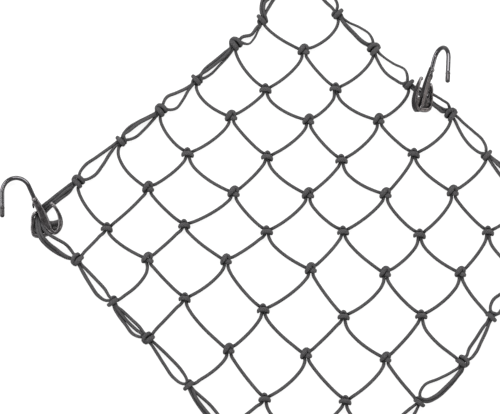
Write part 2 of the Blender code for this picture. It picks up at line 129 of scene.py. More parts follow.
# ------------------------------------------------------------------ cords as swept tubes
def smooth_curve(rows: np.ndarray, fine: float, coarse: float, closed: bool = False) -> np.ndarray:
    """Rows on a smooth curve through the given rows, by the length between them.

    Each stretch is the cubic whose slopes at its two ends are the means of the slopes on both
    sides of that row, weighted towards the nearer row.

    Args:
        rows: control rows, whose first three columns are a place in mm; the rest follow along.
        fine: the spacing of the new rows in tight bends.
        coarse: the spacing elsewhere.
        closed: whether the curve ends where it starts.

    Returns:
        The new rows.
    """
    if closed:
        rows = np.vstack([rows[-2:], rows, rows[:3]])
    gap = np.linalg.norm(np.diff(rows[:, :3], axis=0), axis=1)
    slope = np.diff(rows, axis=0) / gap[:, None]
    before, after = gap[:-1, None], gap[1:, None]
    middle = (slope[:-1] * after + slope[1:] * before) / (before + after)
    slopes = np.vstack([slope[0], middle, slope[-1]])
    count = np.maximum(1, np.ceil(gap / np.where(gap < TIGHT_BEND, fine, coarse))).astype(int)
    if closed:
        count[:2] = 0
        count[-2:] = 0
    seg = np.repeat(np.arange(len(gap)), count)
    first = np.concatenate([[0], np.cumsum(count)[:-1]])
    u = ((np.arange(len(seg)) - first[seg]) / count[seg])[:, None]
    a, b = rows[seg], rows[seg + 1]
    ma, mb = slopes[seg] * gap[seg, None], slopes[seg + 1] * gap[seg, None]
    out = ((2 * u**3 - 3 * u**2 + 1) * a + (u**3 - 2 * u**2 + u) * ma
           + (3 * u**2 - 2 * u**3) * b + (u**3 - u**2) * mb)
    return out if closed else np.vstack([out, rows[-1]])


def unit(vectors: np.ndarray) -> np.ndarray:
    """Rows scaled to length one."""
    return vectors / np.maximum(np.linalg.norm(vectors, axis=-1, keepdims=True), TINY)


def lengths_along(places: np.ndarray) -> np.ndarray:
    """The way along a line of places from its first to each one."""
    return np.concatenate([[0], np.cumsum(np.linalg.norm(np.diff(places, axis=0), axis=1))])


@dataclass
class Surface:
    """A mesh put together from closed tubes of quads, each mapped along and around, with its
    painted highlight and shade.

    Every tube's faces look outwards, and no tube is left open.
    """

    name: str
    points: list = field(default_factory=list)
    quads: list = field(default_factory=list)
    caps: list = field(default_factory=list)
    maps: list = field(default_factory=list)
    wear_and_painted_light: list = field(default_factory=list)
    total: int = 0

    def add_grid(self, grid: np.ndarray, along: np.ndarray, closed: bool = False,
                 painted_light: object = 0.0) -> None:
        """Adds a tube given as rings of points.

        Ring m and its neighbour m + 1 are joined by quads; the first and last ring are capped
        by one flat face each, unless the tube closes on itself.

        Args:
            grid: places in mm, rings by points around by 3, anticlockwise seen from the start.
            along: the map's value along the tube for each ring.
            closed: whether the last ring joins the first.
            painted_light: the painted highlight on each point, from 0 to 1, with painted shade
                below 0.
        """
        rings, sides = grid.shape[:2]
        numbers = self.total + np.arange(rings * sides).reshape(rings, sides)
        ahead = np.roll(numbers, -1, axis=0) if closed else numbers[1:]
        here = numbers if closed else numbers[:-1]
        quad = np.stack([here, np.roll(here, -1, 1), np.roll(ahead, -1, 1), ahead], axis=-1)
        step = np.diff(along)
        ends = np.append(along[1:], along[-1] + step[-1]) if closed else along[1:]
        starts = along if closed else along[:-1]
        u = np.stack(np.broadcast_arrays(starts[:, None], ends[:, None]), -1)
        v0 = np.broadcast_to(np.arange(sides) / sides, here.shape)
        v1 = v0 + 1 / sides
        low = np.broadcast_to(u[..., 0], here.shape)
        high = np.broadcast_to(u[..., 1], here.shape)
        uv = np.stack([np.stack([low, v0], -1), np.stack([low, v1], -1),
                       np.stack([high, v1], -1), np.stack([high, v0], -1)], axis=2)
        self.points.append(grid.reshape(-1, 3))
        self.wear_and_painted_light.append(np.broadcast_to(painted_light, (rings, sides)).ravel())
        self.quads.append(quad.reshape(-1, 4))
        self.maps.append(uv.reshape(-1, 2))
        if not closed:
            self.caps += [numbers[0][::-1].tolist(), numbers[-1].tolist()]
        self.total += rings * sides

    def add_cord(self, rows: np.ndarray, sides: int, closed: bool = False,
                 painted_light: float = 0.0) -> None:
        """Adds a cord of oval section along rows of (x, y, z, wide, thick, nx, ny, nz).

        At each row the section stands square to the curve; its thin way points along (nx, ny,
        nz), taken square to the curve, and its wide way along the cross product of the two.

        Args:
            rows: places, section sizes and the flat side's direction, in mm.
            sides: how many points go around.
            closed: whether the cord ends where it starts.
            painted_light: the painted highlight that it carries, from 0 to 1.
        """
        place = rows[:, PLACE]
        if closed:
            ahead = np.roll(place, -1, 0) - np.roll(place, 1, 0)
        else:
            ahead = np.gradient(place, axis=0)
        way = unit(ahead)
        across = unit(np.cross(way, rows[:, FLAT_SIDE]))
        up = np.cross(across, way)
        angle = 2 * np.pi * np.arange(sides) / sides
        ring = (np.cos(angle)[None, :, None] * across[:, None] * rows[:, None, 3:4]
                - np.sin(angle)[None, :, None] * up[:, None] * rows[:, None, 4:5]) / 2
        along = lengths_along(place) / (np.pi * CORD)
        self.add_grid(place[:, None] + ring, along, closed, painted_light)

    def build(self) -> bpy.types.Object:
        """Makes the object, in metres, smooth shaded, with its map cord and its layer of painted
        highlight and shade.

        Returns:
            The new object, at the origin.
        """
        mesh = bpy.data.meshes.new(self.name)
        places = (np.vstack(self.points) * MM).tolist()
        faces = np.vstack(self.quads).tolist() + self.caps
        mesh.from_pydata(places, [], faces)
        layer = mesh.uv_layers.new(name="cord")
        caps = np.zeros((sum(len(c) for c in self.caps), 2))
        layer.uv.foreach_set("vector", np.vstack([*self.maps, caps]).ravel())
        # This layer carries painted highlight where positive and painted shade where negative.
        painted_light_marks = mesh.attributes.new("painted_light", "FLOAT", "POINT")
        painted_light_marks.data.foreach_set("value", np.concatenate(self.wear_and_painted_light))
        mesh.shade_smooth()
        mesh.update()
        item = bpy.data.objects.new(self.name, mesh)
        bpy.context.scene.collection.objects.link(item)
        return item


# ------------------------------------------------------------------ the knots' two strands
class Knot(Enum):
    """Which face of its sheet bend a knot shows."""

    BAND = "band"
    SLANT = "slant"


class Strand(Enum):
    """The two strands of a knot: the one that winds round, and the bend that it winds round."""

    WRAP = "wrap"
    BIGHT = "bight"


class Arrival(Enum):
    """From where along the border the netting cord arrives at a border knot."""

    ABOVE = "above"
    BELOW = "below"


class Cord(Enum):
    """The cords along the border: its two rings, and the netting's own cord beside them."""

    OUTER = "outer"
    INNER = "inner"
    THIRD = "third"


# Each strand of a knot in mm from its middle: across, up, height over the ground, width,
# thickness and the direction of its flat side (across, height), straight up where it is left out.
KNOT_STRANDS = {
    Knot.BAND: {
        Strand.WRAP: (
            (-1.0, 1.7, 4.6, 3.1, 3.0), (-0.9, 2.4, 3.2, 3.4, 2.5), (1.2, 0.4, 1.9, 3.4, 2.3),
            (3.3, -1.5, 1.7, 3.5, 2.4, -0.3, 1), (4.7, -1.9, 3.4, 3.7, 2.6, -1, 0.5),
            (4.8, -1.0, 5.6, 4.0, 2.5, -1, -0.4), (3.5, 0.2, 7.6, 4.3, 2.4, -0.5, -1),
            (1.2, 0.9, 8.6, 4.5, 2.4, 0, -1), (-1.5, 0.9, 8.6, 4.5, 2.4, 0, -1),
            (-3.8, 0.3, 7.4, 4.3, 2.4, 0.5, -1), (-5.0, -0.7, 5.4, 4.0, 2.5, 1, -0.4),
            (-4.6, -0.6, 3.0, 3.6, 2.5, 1, 0.6), (-2.6, 1.0, 1.6, 3.4, 2.4),
            (0.6, 1.8, 1.5, 3.4, 2.4), (3.0, 1.8, 2.6, 3.3, 2.6), (1.5, 0.9, 4.6, 3.1, 3.0),
        ),
        Strand.BIGHT: (
            (-0.2, -2.4, 4.0, 3.1, 3.0), (-1.3, -1.0, 4.4, 3.2, 2.8), (-1.7, 2.8, 5.6, 3.3, 2.8),
            (-1.2, 4.5, 6.4, 3.2, 2.9), (0.0, 5.2, 6.7, 3.2, 3.0), (1.2, 4.5, 6.4, 3.2, 2.9),
            (1.7, 2.8, 5.6, 3.3, 2.8), (1.3, -1.0, 4.4, 3.2, 2.8), (0.2, -2.4, 4.0, 3.1, 3.0),
        ),
    },
    Knot.SLANT: {
        Strand.WRAP: (
            (-1.4, 0.2, 4.7, 3.1, 3.0), (-1.2, 0.4, 5.6, 3.6, 2.5), (0.6, -0.6, 7.0, 4.8, 2.4),
            (2.5, -1.2, 7.2, 4.7, 2.4, 0.4, 1), (4.3, -1.5, 5.6, 4.2, 2.5, 1, 0.5),
            (4.5, -1.6, 3.4, 3.8, 2.5, 1, -0.5), (2.6, -1.6, 1.7, 3.5, 2.4, 0, -1),
            (-0.4, -1.9, 1.5, 3.4, 2.4, 0, -1), (-3.2, -2.4, 2.2, 3.6, 2.4, -0.5, -1),
            (-4.9, -2.2, 4.2, 4.0, 2.5, -1, 0), (-4.5, -1.0, 6.6, 4.2, 2.5, -0.8, 0.8),
            (-3.0, 0.8, 8.2, 4.4, 2.4, -0.2, 1), (-1.4, 2.8, 8.4, 4.3, 2.4),
            (0.4, 4.2, 7.2, 4.0, 2.4, 0.3, 1), (1.9, 3.2, 4.9, 3.4, 2.5),
            (1.3, 1.3, 4.6, 3.1, 3.0),
        ),
        Strand.BIGHT: (
            (0.1, -1.4, 4.6, 3.1, 3.0), (-2.4, -0.4, 4.6, 3.3, 2.7), (-2.9, 2.4, 4.8, 3.4, 2.7),
            (-1.6, 4.6, 5.6, 3.5, 2.8), (0.6, 5.6, 6.6, 3.7, 2.8), (2.6, 4.5, 6.6, 3.9, 2.8),
            (2.9, 2.2, 6.0, 4.3, 2.7), (2.4, -0.4, 4.7, 3.3, 2.7), (0.1, -1.4, 4.6, 3.1, 3.0),
        ),
    },
}

# The netting cord where it ties round the border cords, in mm from the knot's middle: across
# towards the net, up along the border, height, width, thickness and flat side (across, height).
# It arrives along the border from above or from below, and its last row is where its bar starts.
BORDER_WRAPS = {
    Knot.BAND: (
        (3.0, 3.3, 4.8, 3.2, 2.7), (4.9, 1.9, 3.8, 3.4, 2.6, -0.5, 1), (4.2, 0.8, 2.0, 3.4, 2.4),
        (1.2, 0.4, 1.4, 3.4, 2.3), (-2.0, 0.4, 1.4, 3.4, 2.3), (-4.2, 0.4, 2.4, 3.4, 2.4, 0.6, 1),
        (-5.1, 0.3, 4.4, 3.6, 2.5, 1, 0), (-4.6, 0.2, 6.6, 4.0, 2.5, 1, -1),
        (-2.6, 0.1, 8.1, 4.4, 2.4, 0, -1), (0.4, -0.1, 8.5, 4.5, 2.4, 0, -1),
        (3.2, -0.4, 7.8, 4.4, 2.4, -0.4, -1), (5.0, -0.8, 5.9, 4.0, 2.5, -1, -0.6),
        (5.1, -1.2, 3.7, 3.6, 2.5, -1, 0.4), (3.6, -1.4, 2.3, 3.5, 2.4),
        (0.4, -1.4, 4.2, 3.2, 2.8),
    ),
    Knot.SLANT: (
        (-5.2, -0.9, 4.7, 3.6, 2.6, 1, 0.2), (-4.7, 0.9, 6.6, 4.0, 2.6, 0.8, -1),
        (-2.4, 2.7, 7.3, 4.2, 2.6, 0, -1), (0.9, 3.5, 7.1, 4.2, 2.6, 0, -1),
        (3.8, 2.9, 6.2, 4.0, 2.6, -0.5, -1), (5.4, 2.2, 4.2, 3.6, 2.5, -1, 0),
        (4.3, 0.7, 2.2, 3.4, 2.4), (1.4, -0.5, 1.5, 3.4, 2.3), (-1.6, -1.4, 1.5, 3.4, 2.3),
        (-4.1, -2.0, 2.6, 3.6, 2.4, 0.7, 1), (-4.7, -2.1, 5.0, 4.0, 2.5, 1, 0),
        (-3.2, -2.0, 7.2, 4.5, 2.4, 0.7, -1), (-0.4, -2.1, 8.4, 4.8, 2.4, 0, -1),
        (2.8, -2.4, 8.3, 4.8, 2.4, 0, -1), (5.2, -2.7, 6.6, 4.4, 2.5, -1, -0.8),
        (5.7, -2.8, 4.2, 3.8, 2.5, -1, 0.3), (3.8, -2.7, 2.4, 3.5, 2.4),
        (0.9, -2.2, 4.2, 3.2, 2.8),
    ),
}
# The rows before them, by the pose of the knot and where the cord arrives from.
ARRIVALS = {
    (Knot.BAND, Arrival.ABOVE): ((0.3, 6.6, 5.0, 3.1, 2.9),),
    (Knot.BAND, Arrival.BELOW): (
        (0.0, -6.6, 4.8, 3.1, 2.9), (-0.2, -3.0, 4.6, 3.2, 2.8), (0.0, 1.0, 4.7, 3.2, 2.8),
        (1.2, 3.2, 4.9, 3.2, 2.7),
    ),
    (Knot.SLANT, Arrival.ABOVE): (
        (0.0, 6.8, 4.7, 3.1, 2.9), (-2.2, 3.8, 3.7, 3.3, 2.6), (-4.4, 1.2, 3.1, 3.4, 2.5, 0.4, 1),
    ),
    (Knot.SLANT, Arrival.BELOW): (
        (-0.4, -6.8, 4.8, 3.1, 2.9), (-2.4, -4.0, 3.9, 3.3, 2.6),
        (-4.4, -2.3, 3.4, 3.4, 2.5, 0.4, 1),
    ),
}
STRAIGHT_UP = (0, 1)
STRAND_COLUMNS = 7
KNOT_MIDDLE = 4.7
LEG_HEIGHT = 3.6


def strand_rows(table: tuple) -> np.ndarray:
    """A knot's strand as cord rows, with its flat side's direction in three columns."""
    *kept, up = np.array([(*row, *STRAIGHT_UP)[:STRAND_COLUMNS] for row in table], float).T
    return np.column_stack([*kept, np.zeros(len(up)), up])


def knot_kind(knot: tuple) -> Knot:
    """Every other knot shows its band, and the ones between show their slanting strand."""
    return Knot.BAND if sum(knot) % 2 == 0 else Knot.SLANT


@dataclass(frozen=True)
class KnotUnevenness:
    """How knots tied by hand differ: small turns, swellings and shifts, seeded by their place."""

    turn: float = 5.0
    swell: float = 0.045
    shift: float = 0.25
    crown: float = 8.0
    crown_depth: float = 2.5
    first_seed: int = 100

    def apply(self, rows: np.ndarray, knot: tuple, height: float = KNOT_MIDDLE) -> np.ndarray:
        """A strand turned and swollen as its knot is, and shifted where it crosses the crown.

        Args:
            rows: cord rows about the knot's middle.
            knot: the knot's (i, j), which seeds the draw.
            height: the height that stays in place.

        Returns:
            Changed rows.
        """
        seed = self.first_seed + 10 * knot[0] + knot[1]
        draw = np.random.default_rng(seed).uniform(-1, 1, 6)
        out = turned(rows, self.turn * draw[0])
        out[:, 0] *= 1 + self.swell * draw[1]
        out[:, 1] *= 1 + self.swell * draw[2]
        out[:, 2] = height + (out[:, 2] - height) * (1 + self.swell * draw[3] / 2)
        near_crown = np.exp(-((out[:, 2] - self.crown) / self.crown_depth) ** 2)
        out[:, 0] += self.shift * draw[4] * near_crown
        out[:, 1] += self.shift * draw[5] * near_crown
        return out


UNEVEN = KnotUnevenness()


def turned_flat(rows: np.ndarray, degrees: float) -> np.ndarray:
    """Cord rows turned about the knot's middle, with their flat sides.

    Args:
        rows: cord rows.
        degrees: the turn, anticlockwise.

    Returns:
        A turned copy.
    """
    out = turned(rows, degrees)
    out[:, FLAT_SIDE_PLAN] = turned(rows[:, FLAT_SIDE_PLAN], degrees)
    return out


def chained(pieces: list) -> np.ndarray:
    """Pieces of one cord end to end; a flat side has no sign, so each is turned to match.

    Args:
        pieces: cord rows in the order in which the cord runs.

    Returns:
        All the rows.
    """
    out = [pieces[0]]
    for piece in pieces[1:]:
        match = np.dot(piece[0, FLAT_SIDE], out[-1][-1, FLAT_SIDE])
        piece = piece.copy()
        piece[:, FLAT_SIDE] *= -1 if match < 0 else 1
        out.append(piece)
    return np.vstack(out)


def cord_rows(places: np.ndarray, widths: object = CORD) -> np.ndarray:
    """Round cord rows along places, with the flat side up.

    Args:
        places: rows of (x, y, z), in mm.
        widths: the cord's width, one for all or one for each row.

    Returns:
        Rows of (x, y, z, wide, thick, nx, ny, nz).
    """
    size = np.broadcast_to(np.asarray(widths, float), len(places))
    zero, one = np.zeros(len(places)), np.ones(len(places))
    return np.column_stack([places, size, size, zero, zero, one])


# ------------------------------------------------------------------ the border's sides
QUARTERS = np.array([0.25, 0.5, 0.75])
BORDER_HEIGHT = 3.1
# How far apart the middles of two cords lie that rest on each other, as a share of their width.
NESTLED = 0.97
# Where strands come out of a border knot: how far along, and the share of their offset there.
KNOT_ENTRY = 5.2
KNOT_SPREAD = 0.55


@dataclass(frozen=True)
class Stretch:
    """A border stretch between two knots: where its strands lie, in mm outwards from a straight
    line, at a quarter, a half and three quarters of the way; third is the netting's own cord.
    """

    outer: tuple
    inner: tuple
    third: tuple = ()
    outer_width: float = CORD
    inner_width: float = CORD

    def offsets(self, cord: Cord) -> tuple:
        """How far outwards one of its cords lies."""
        return getattr(self, cord.value)

    def width(self, cord: Cord) -> float:
        """How wide one of the two rings' cords is on it."""
        return self.outer_width if cord is Cord.OUTER else self.inner_width


@dataclass(frozen=True)
class BorderSide:
    """A side of the border: its knots and stretches, in the order in which knots are counted.

    Outwards is 1 where that is to the left of the way along its knots and -1 where it is to the
    right. Up is how far its knots are turned, in degrees; a mirrored side's knots are mirrored.
    A side that is met backwards has its last knot first on the way anticlockwise round the net.
    """

    knots: tuple
    outwards: int
    up: float
    mirrored: bool
    backwards: bool
    stretches: tuple

    def across(self, k: int) -> tuple:
        """Stretch k as a straight line.

        Args:
            k: the stretch.

        Returns:
            Its start, the way to its end and the direction outwards.
        """
        a, b = LATTICE.place(self.knots[k]), LATTICE.place(self.knots[k + 1])
        way = unit(b - a)
        return a, b - a, self.outwards * np.array([-way[1], way[0]])

    def line(self, k: int, offsets: tuple, heights: np.ndarray) -> np.ndarray:
        """A strand's places at a quarter, a half and three quarters of stretch k.

        Args:
            k: the stretch.
            offsets: how far outwards it lies, in mm.
            heights: how high.

        Returns:
            Rows of (x, y, z).
        """
        start, way, out = self.across(k)
        plan = start + QUARTERS[:, None] * way + np.array(offsets)[:, None] * out
        return np.column_stack([plan, heights])

    def third_heights(self, k: int) -> np.ndarray:
        """How high the netting's cord lies: on its neighbours where they are near.

        Args:
            k: the stretch.

        Returns:
            A height for each quarter, in mm.
        """
        stretch = self.stretches[k]
        third = np.array(stretch.third, float)
        near = np.minimum(abs(third - stretch.outer), abs(third - stretch.inner))
        return BORDER_HEIGHT + np.sqrt(np.maximum(0, (NESTLED * CORD) ** 2 - near**2))


RUN = range(KNOTS_A_SIDE)
# Anticlockwise round the net: upper left, lower left, lower right, upper right.
BORDER_SIDES = (
    BorderSide(tuple((k, 0) for k in RUN), 1, -45, mirrored=False, backwards=True, stretches=(
        Stretch((8, 7.4, 4.0), (1.6, 1.3, -1.2), (5, 4.4, 1.6)),
        Stretch((6.2, 4.5, 2.6), (-7.0, -5.2, -1.6)),
        Stretch((4.9, 3.9, 1.4), (-5.9, -5.5, -3.4), (2.6, 2.4, 0.2), inner_width=2.7),
        Stretch((5.4, 2.4, -0.3), (-8.6, -6.6, -2.6), inner_width=2.6),
        Stretch((1.8, 1.0, 0.3), (-5.6, -5.2, -4.2), (-0.4, -1.7, -1.9), inner_width=2.4),
        Stretch((0.0, -4.2, -2.6), (-9.0, -8.5, -5), inner_width=2.0),
        Stretch((8.5, 8.5, 5), (0, 0.5, 0), (5.8, 6, 3)),
    )),
    BorderSide(tuple((0, k) for k in RUN), -1, 45, mirrored=False, backwards=False, stretches=(
        Stretch((12, 12.3, 7.6), (0, -0.5, -2.8), (9.6, 9.7, 5.8)),
        Stretch((3.3, 5.5, 6.6), (-1.1, -1.9, -2.3), outer_width=3.3),
        Stretch((4.5, 6.1, 7.2), (-0.9, -1.6, -2), (1.8, 2.6, 2)),
        Stretch((2.2, 4.4, 5.8), (-3, -4.3, -4.6)),
        Stretch((3.8, 5, 4.6), (-2.3, -4.3, -4), (1.6, 2.4, 2.2)),
        Stretch((3, 4.5, 4), (-2, -4, -3.5)),
        Stretch((4, 5, 4), (-2, -3, -2.5), (1.6, 2.4, 1.8)),
    )),
    BorderSide(tuple((k, LAST) for k in RUN), -1, -45, mirrored=True, backwards=False, stretches=(
        Stretch((3, 4, 3.5), (-2, -3, -3)),
        Stretch((4, 5, 4), (-2.5, -4, -3), (1.8, 2.8, 2)),
        Stretch((3, 5, 4), (-3, -4, -3)),
        Stretch((7.8, 8.6, 7), (-9, -4.2, 0), (5.4, 6.2, 5.4), inner_width=2.7),
        Stretch((5.7, 4.5, 2.8), (-1.7, -1.5, -1.5)),
        Stretch((5, 5, 4), (-9, -6, -3), (2.8, 2.6, 2)),
        Stretch((3, 4, 3.5), (-2, -2, -2)),
    )),
    BorderSide(tuple((LAST, k) for k in RUN), 1, 45, mirrored=True, backwards=True, stretches=(
        Stretch((6, 8.5, 8), (-1.5, -1.5, -1.3), outer_width=2.5),
        Stretch((0.9, 5, 6.8), (-3, -3.6, -3.6), (-2.4, -2.8, -2.6), outer_width=2.2),
        Stretch((0.9, 3.4, 7), (-6, -8.4, -6.5), outer_width=2.2, inner_width=2.7),
        Stretch((2.4, 5.2, 6), (-2, -3, -3.2), (0, -1, -1.2), outer_width=2.4),
        Stretch((3.2, 5, 6.2), (-3.3, -6.1, -5.8), outer_width=2.6, inner_width=2.8),
        Stretch((3, 5, 4), (-3, -4.5, -3), (1, 2.6, 1.6)),
        Stretch((3, 5, 4), (-2, -3, -2)),
    )),
)


def side_with(*knots: tuple) -> BorderSide:
    """The border side that holds all of these knots."""
    return next(side for side in BORDER_SIDES if set(knots) <= set(side.knots))


# ------------------------------------------------------------------ netting
@dataclass
class Netting:
    """The diamond netting, all of one cord.

    It crosses the net in twelve zigzags, each knotted to the one before, and between two
    zigzags it runs along the border from one knot to the next. Rows of hangs are lines j; each
    number is how far the bar that starts at knot i hangs from a straight line, in mm. A falling
    bar runs from knot (i, j) to (i, j + 1), a rising one from (i, j) up to (i + 1, j).
    """

    sides: int = 12
    fine: float = 0.95
    coarse: float = 2.4
    skew: float = 0.65
    sag: float = 1.1
    reach: float = 4.4
    cord: float = 3.3
    thinner_upwards: float = 0.0010
    stations: tuple = (0.2, 0.33, 0.47, 0.61, 0.75)
    last_tuck: tuple = (-2.0, -2.6, 3.0)
    cut_end: tuple = (-2.2, -8.0, 2.4)
    falling: tuple = (
        (0, 6.3, 10.2, 7.4, 8.6, 6.5, 4.4), (0, 4.3, 2.5, 6.5, 2.6, 6.6, 2.6),
        (0, 1.6, 3.2, 3.2, 6.0, 3.4, 7.0), (0, 4.7, 4.4, 6.0, 5.0, 7.4, 2.6),
        (0, 2.2, 4.4, 2.2, 4.4, 4.4, 4.9), (0, 6.0, 2.9, 6.8, 3.8, 6.0, 2.6),
        (0, 2.6, 6.0, 2.0, 6.6, 3.6, 6.0),
    )
    rising: tuple = (
        (),
        (0.2, 2.2, 4.0, 5.6, 2.6, 5.6, 9.0), (8.5, 1.2, 4.6, 2.8, 5.2, 5.2, 7.4),
        (0.2, 5.6, 2.2, 4.7, 2.8, 5.8, 6.6), (5.4, 4.0, 5.2, 2.8, 4.3, 2.6, 7.4),
        (0.8, 7.0, 1.4, 7.4, 5.4, 5.2, 4.9), (6.8, 2.7, 5.3, 2.7, 6.8, 3.4, 5.8),
    )

    def bar(self, upper: tuple, lower: tuple) -> np.ndarray:
        """A bar's middle rows, from its upper knot to its lower one.

        At a share f of the way the bar hangs by (1 - f) f^skew of its hang, scaled so that its
        greatest hang is the one in the table, and it sags a little towards the ground.

        Args:
            upper: the knot that it hangs from.
            lower: the knot that it goes down to.

        Returns:
            Cord rows, without the knots at the ends.
        """
        falling = upper[0] == lower[0]
        hang = self.falling[upper[1]][upper[0]] if falling else self.rising[lower[1]][lower[0]]
        start, end = LATTICE.place(upper), LATTICE.place(lower)
        chord = end - start
        down = unit(np.array([chord[1], -chord[0]]))
        down = down if down[1] < 0 else -down
        f = np.array(self.stations)
        lowest = self.skew / (1 + self.skew)
        most = (1 - lowest) * lowest**self.skew
        depth = hang * (1 - f) * f**self.skew / most
        plan = start + f[:, None] * chord + depth[:, None] * down
        height = KNOT_MIDDLE - self.sag * 4 * f * (1 - f)
        width = self.cord - self.thinner_upwards * plan[:, 1]
        return cord_rows(np.column_stack([plan, height]), width)

    def inner_knot(self, knot: tuple, strand: Strand) -> np.ndarray:
        """One of the two strands of a knot inside the net, at its place.

        Args:
            knot: the knot's (i, j).
            strand: which of the two.

        Returns:
            Cord rows.
        """
        rows = UNEVEN.apply(strand_rows(KNOT_STRANDS[knot_kind(knot)][strand]), knot)
        rows[:, :2] += LATTICE.place(knot)
        return rows

    def border_knot(self, knot: tuple) -> np.ndarray:
        """The netting cord wound round the border cords, from the border to where its bar leaves.

        Args:
            knot: the border knot's (i, j).

        Returns:
            Cord rows.
        """
        side = side_with(knot)
        k = side.knots.index(knot)
        ahead = not side.stretches[k - 1].third
        arrival = Arrival.ABOVE if ahead != (side.up > 0) else Arrival.BELOW
        near = side.stretches[k].third[0] if ahead else side.stretches[k - 1].third[2]
        rows = strand_rows(ARRIVALS[knot_kind(knot), arrival] + BORDER_WRAPS[knot_kind(knot)])
        rows[0, 0] = -KNOT_SPREAD * near
        if side.mirrored:
            rows[:, (0, 5)] *= -1
        rows = UNEVEN.apply(turned_flat(rows, side.up), knot)
        rows[:, :2] += LATTICE.place(knot)
        return rows

    def lead_out(self, body: np.ndarray, end: int, bar: np.ndarray) -> None:
        """Moves a knot's end row out from the knot, straight towards its bar's nearest row.

        Args:
            body: the knot's rows, changed in place.
            end: 0 for its first row, -1 for its last.
            bar: the bar that starts or ends there.
        """
        near = bar[-1] if end == 0 else bar[0]
        body[end, :2] += self.reach * unit(near[:2] - body[end, :2])
        body[end, 2] = LEG_HEIGHT
        body[end, SIZE] = near[SIZE]

    def zigzag(self, row: int) -> np.ndarray:
        """One crossing of the net, from its left border to its right one.

        Args:
            row: which one; its lower knots have i - j = row.

        Returns:
            Cord rows, with the border knots at both ends.
        """
        knot = (row + 1, 0) if row >= 0 else (0, -row)
        rising = row < 0
        pieces = [self.border_knot(knot)]
        while len(pieces) < 2 or not is_border(knot):
            ahead = (knot[0] + 1, knot[1]) if rising else (knot[0], knot[1] + 1)
            bar = self.bar(ahead, knot)[::-1] if rising else self.bar(knot, ahead)
            if is_border(ahead):
                body = self.border_knot(ahead)[::-1]
            else:
                body = self.inner_knot(ahead, Strand.BIGHT if rising else Strand.WRAP)
            self.lead_out(pieces[-1], -1, bar)
            self.lead_out(body, 0, bar)
            pieces += [bar, body]
            knot, rising = ahead, not rising
        return chained(pieces)

    def border_run(self, start: tuple, end: tuple) -> np.ndarray:
        """The netting cord along a border stretch, on its way from one zigzag to the next.

        Args:
            start: the border knot that it leaves.
            end: the next border knot.

        Returns:
            Cord rows.
        """
        side = side_with(start, end)
        first, last = side.knots.index(start), side.knots.index(end)
        k = min(first, last)
        places = side.line(k, side.stretches[k].third, side.third_heights(k))
        return cord_rows(places if last > first else places[::-1], self.cord)

    def corner_run(self) -> np.ndarray:
        """The netting cord through the left corner's clip, between its two nearest knots.

        Returns:
            Cord rows.
        """
        start = self.border_run((1, 0), LEFT)[:1]
        end = self.border_run(LEFT, (0, 1))[2:]
        return chained([start, cord_rows(CORNERS.route(LEFT, Cord.THIRD), self.cord), end])

    def tie_off(self, knot: tuple, corner: tuple) -> np.ndarray:
        """The netting cord's end, tied round the border cords just short of a corner.

        Args:
            knot: the last border knot.
            corner: the corner's (i, j).

        Returns:
            Cord rows, from the knot to the cord's end.
        """
        side = side_with(knot, corner)
        run = self.border_run(knot, corner)
        out = run[1, :2] - LATTICE.place(knot)
        rows = strand_rows(ARRIVALS[Knot.BAND, Arrival.BELOW] + BORDER_WRAPS[Knot.BAND])
        heading = math.degrees(math.atan2(out[1], out[0])) - 90
        rows[-1, :3] = self.last_tuck
        tail = rows[-1:].copy()
        tail[0, :3] = self.cut_end
        rows = turned_flat(np.vstack([rows, tail]), heading)
        stretch = side.stretches[-1]
        between = np.add(stretch.outer, stretch.inner) / 2
        rows[:, :2] += side.line(LAST - 1, between, np.zeros(3))[1, :2]
        return chained([run[:1], rows])

    def whole(self) -> np.ndarray:
        """The cord from its end by the top corner to its end by the bottom corner.

        Returns:
            Cord rows.
        """
        pieces = [self.tie_off((LAST - 1, 0), TOP)[::-1]]
        for count, row in enumerate(range(LAST - 2, -LAST, -1)):
            crossing = self.zigzag(row)
            pieces.append(crossing[::-1] if count % 2 else crossing)
            left = (row + 1, 0) if row >= 0 else (0, -row)
            right = (LAST, LAST - 1 - row) if row >= 0 else (LAST + row, LAST)
            end = left if count % 2 else right
            if row == -LAST + 1:
                pieces.append(self.tie_off(end, BOTTOM))
            elif end == (1, 0):
                pieces.append(self.corner_run())
            else:
                back = (row >= 0) == (end == left)
                ahead = (end[0] - 1, end[1]) if back else (end[0], end[1] + 1)
                pieces.append(self.border_run(end, ahead))
        return chained(pieces)

    def build(self) -> bpy.types.Object:
        """Sweeps the whole cord into one mesh.

        Returns:
            The netting.
        """
        net = Surface("netting_cords")
        net.add_cord(smooth_curve(self.whole(), self.fine, self.coarse), self.sides)
        return net.build()


# ------------------------------------------------------------------ border
# How the cords turn a corner through its clip, in mm from the corner: across, up, height.
LEFT_TURN = {
    Cord.OUTER: (
        (15.8, 25.4, 2.4), (8.5, 19.5, 2.2), (2.7, 14.9, 2.3), (-1.7, 10.0, 3.2),
        (-3.0, 4.8, 5.5), (-2.8, -1.0, 8.4), (-2.0, -7.3, 11.2), (-0.4, -13.1, 12.5),
        (2.6, -18.5, 12.0), (6.7, -23.0, 9.6), (11.9, -27.4, 6.6),
    ),
    Cord.THIRD: (
        (17.8, 23.6, 2.4), (10.5, 17.7, 2.2), (4.7, 12.8, 2.3), (0.9, 8.6, 3.4), (-0.6, 3.8, 6.0),
        (-0.5, -2.0, 9.0), (0.5, -8.5, 11.9), (2.8, -13.8, 12.8), (6.4, -18.3, 11.6),
        (10.8, -22.7, 8.8), (16.1, -26.7, 6.2),
    ),
    Cord.INNER: (
        (19.5, 21.6, 2.3), (12.0, 15.7, 2.2), (6.6, 10.5, 2.4), (3.2, 5.4, 3.8), (1.4, 1.2, 6.4),
        (2.4, -3.8, 9.6), (5.8, -9.2, 12.0), (10.7, -13.3, 12.8), (16.6, -16.9, 11.2),
        (24.7, -21.6, 7.6),
    ),
}
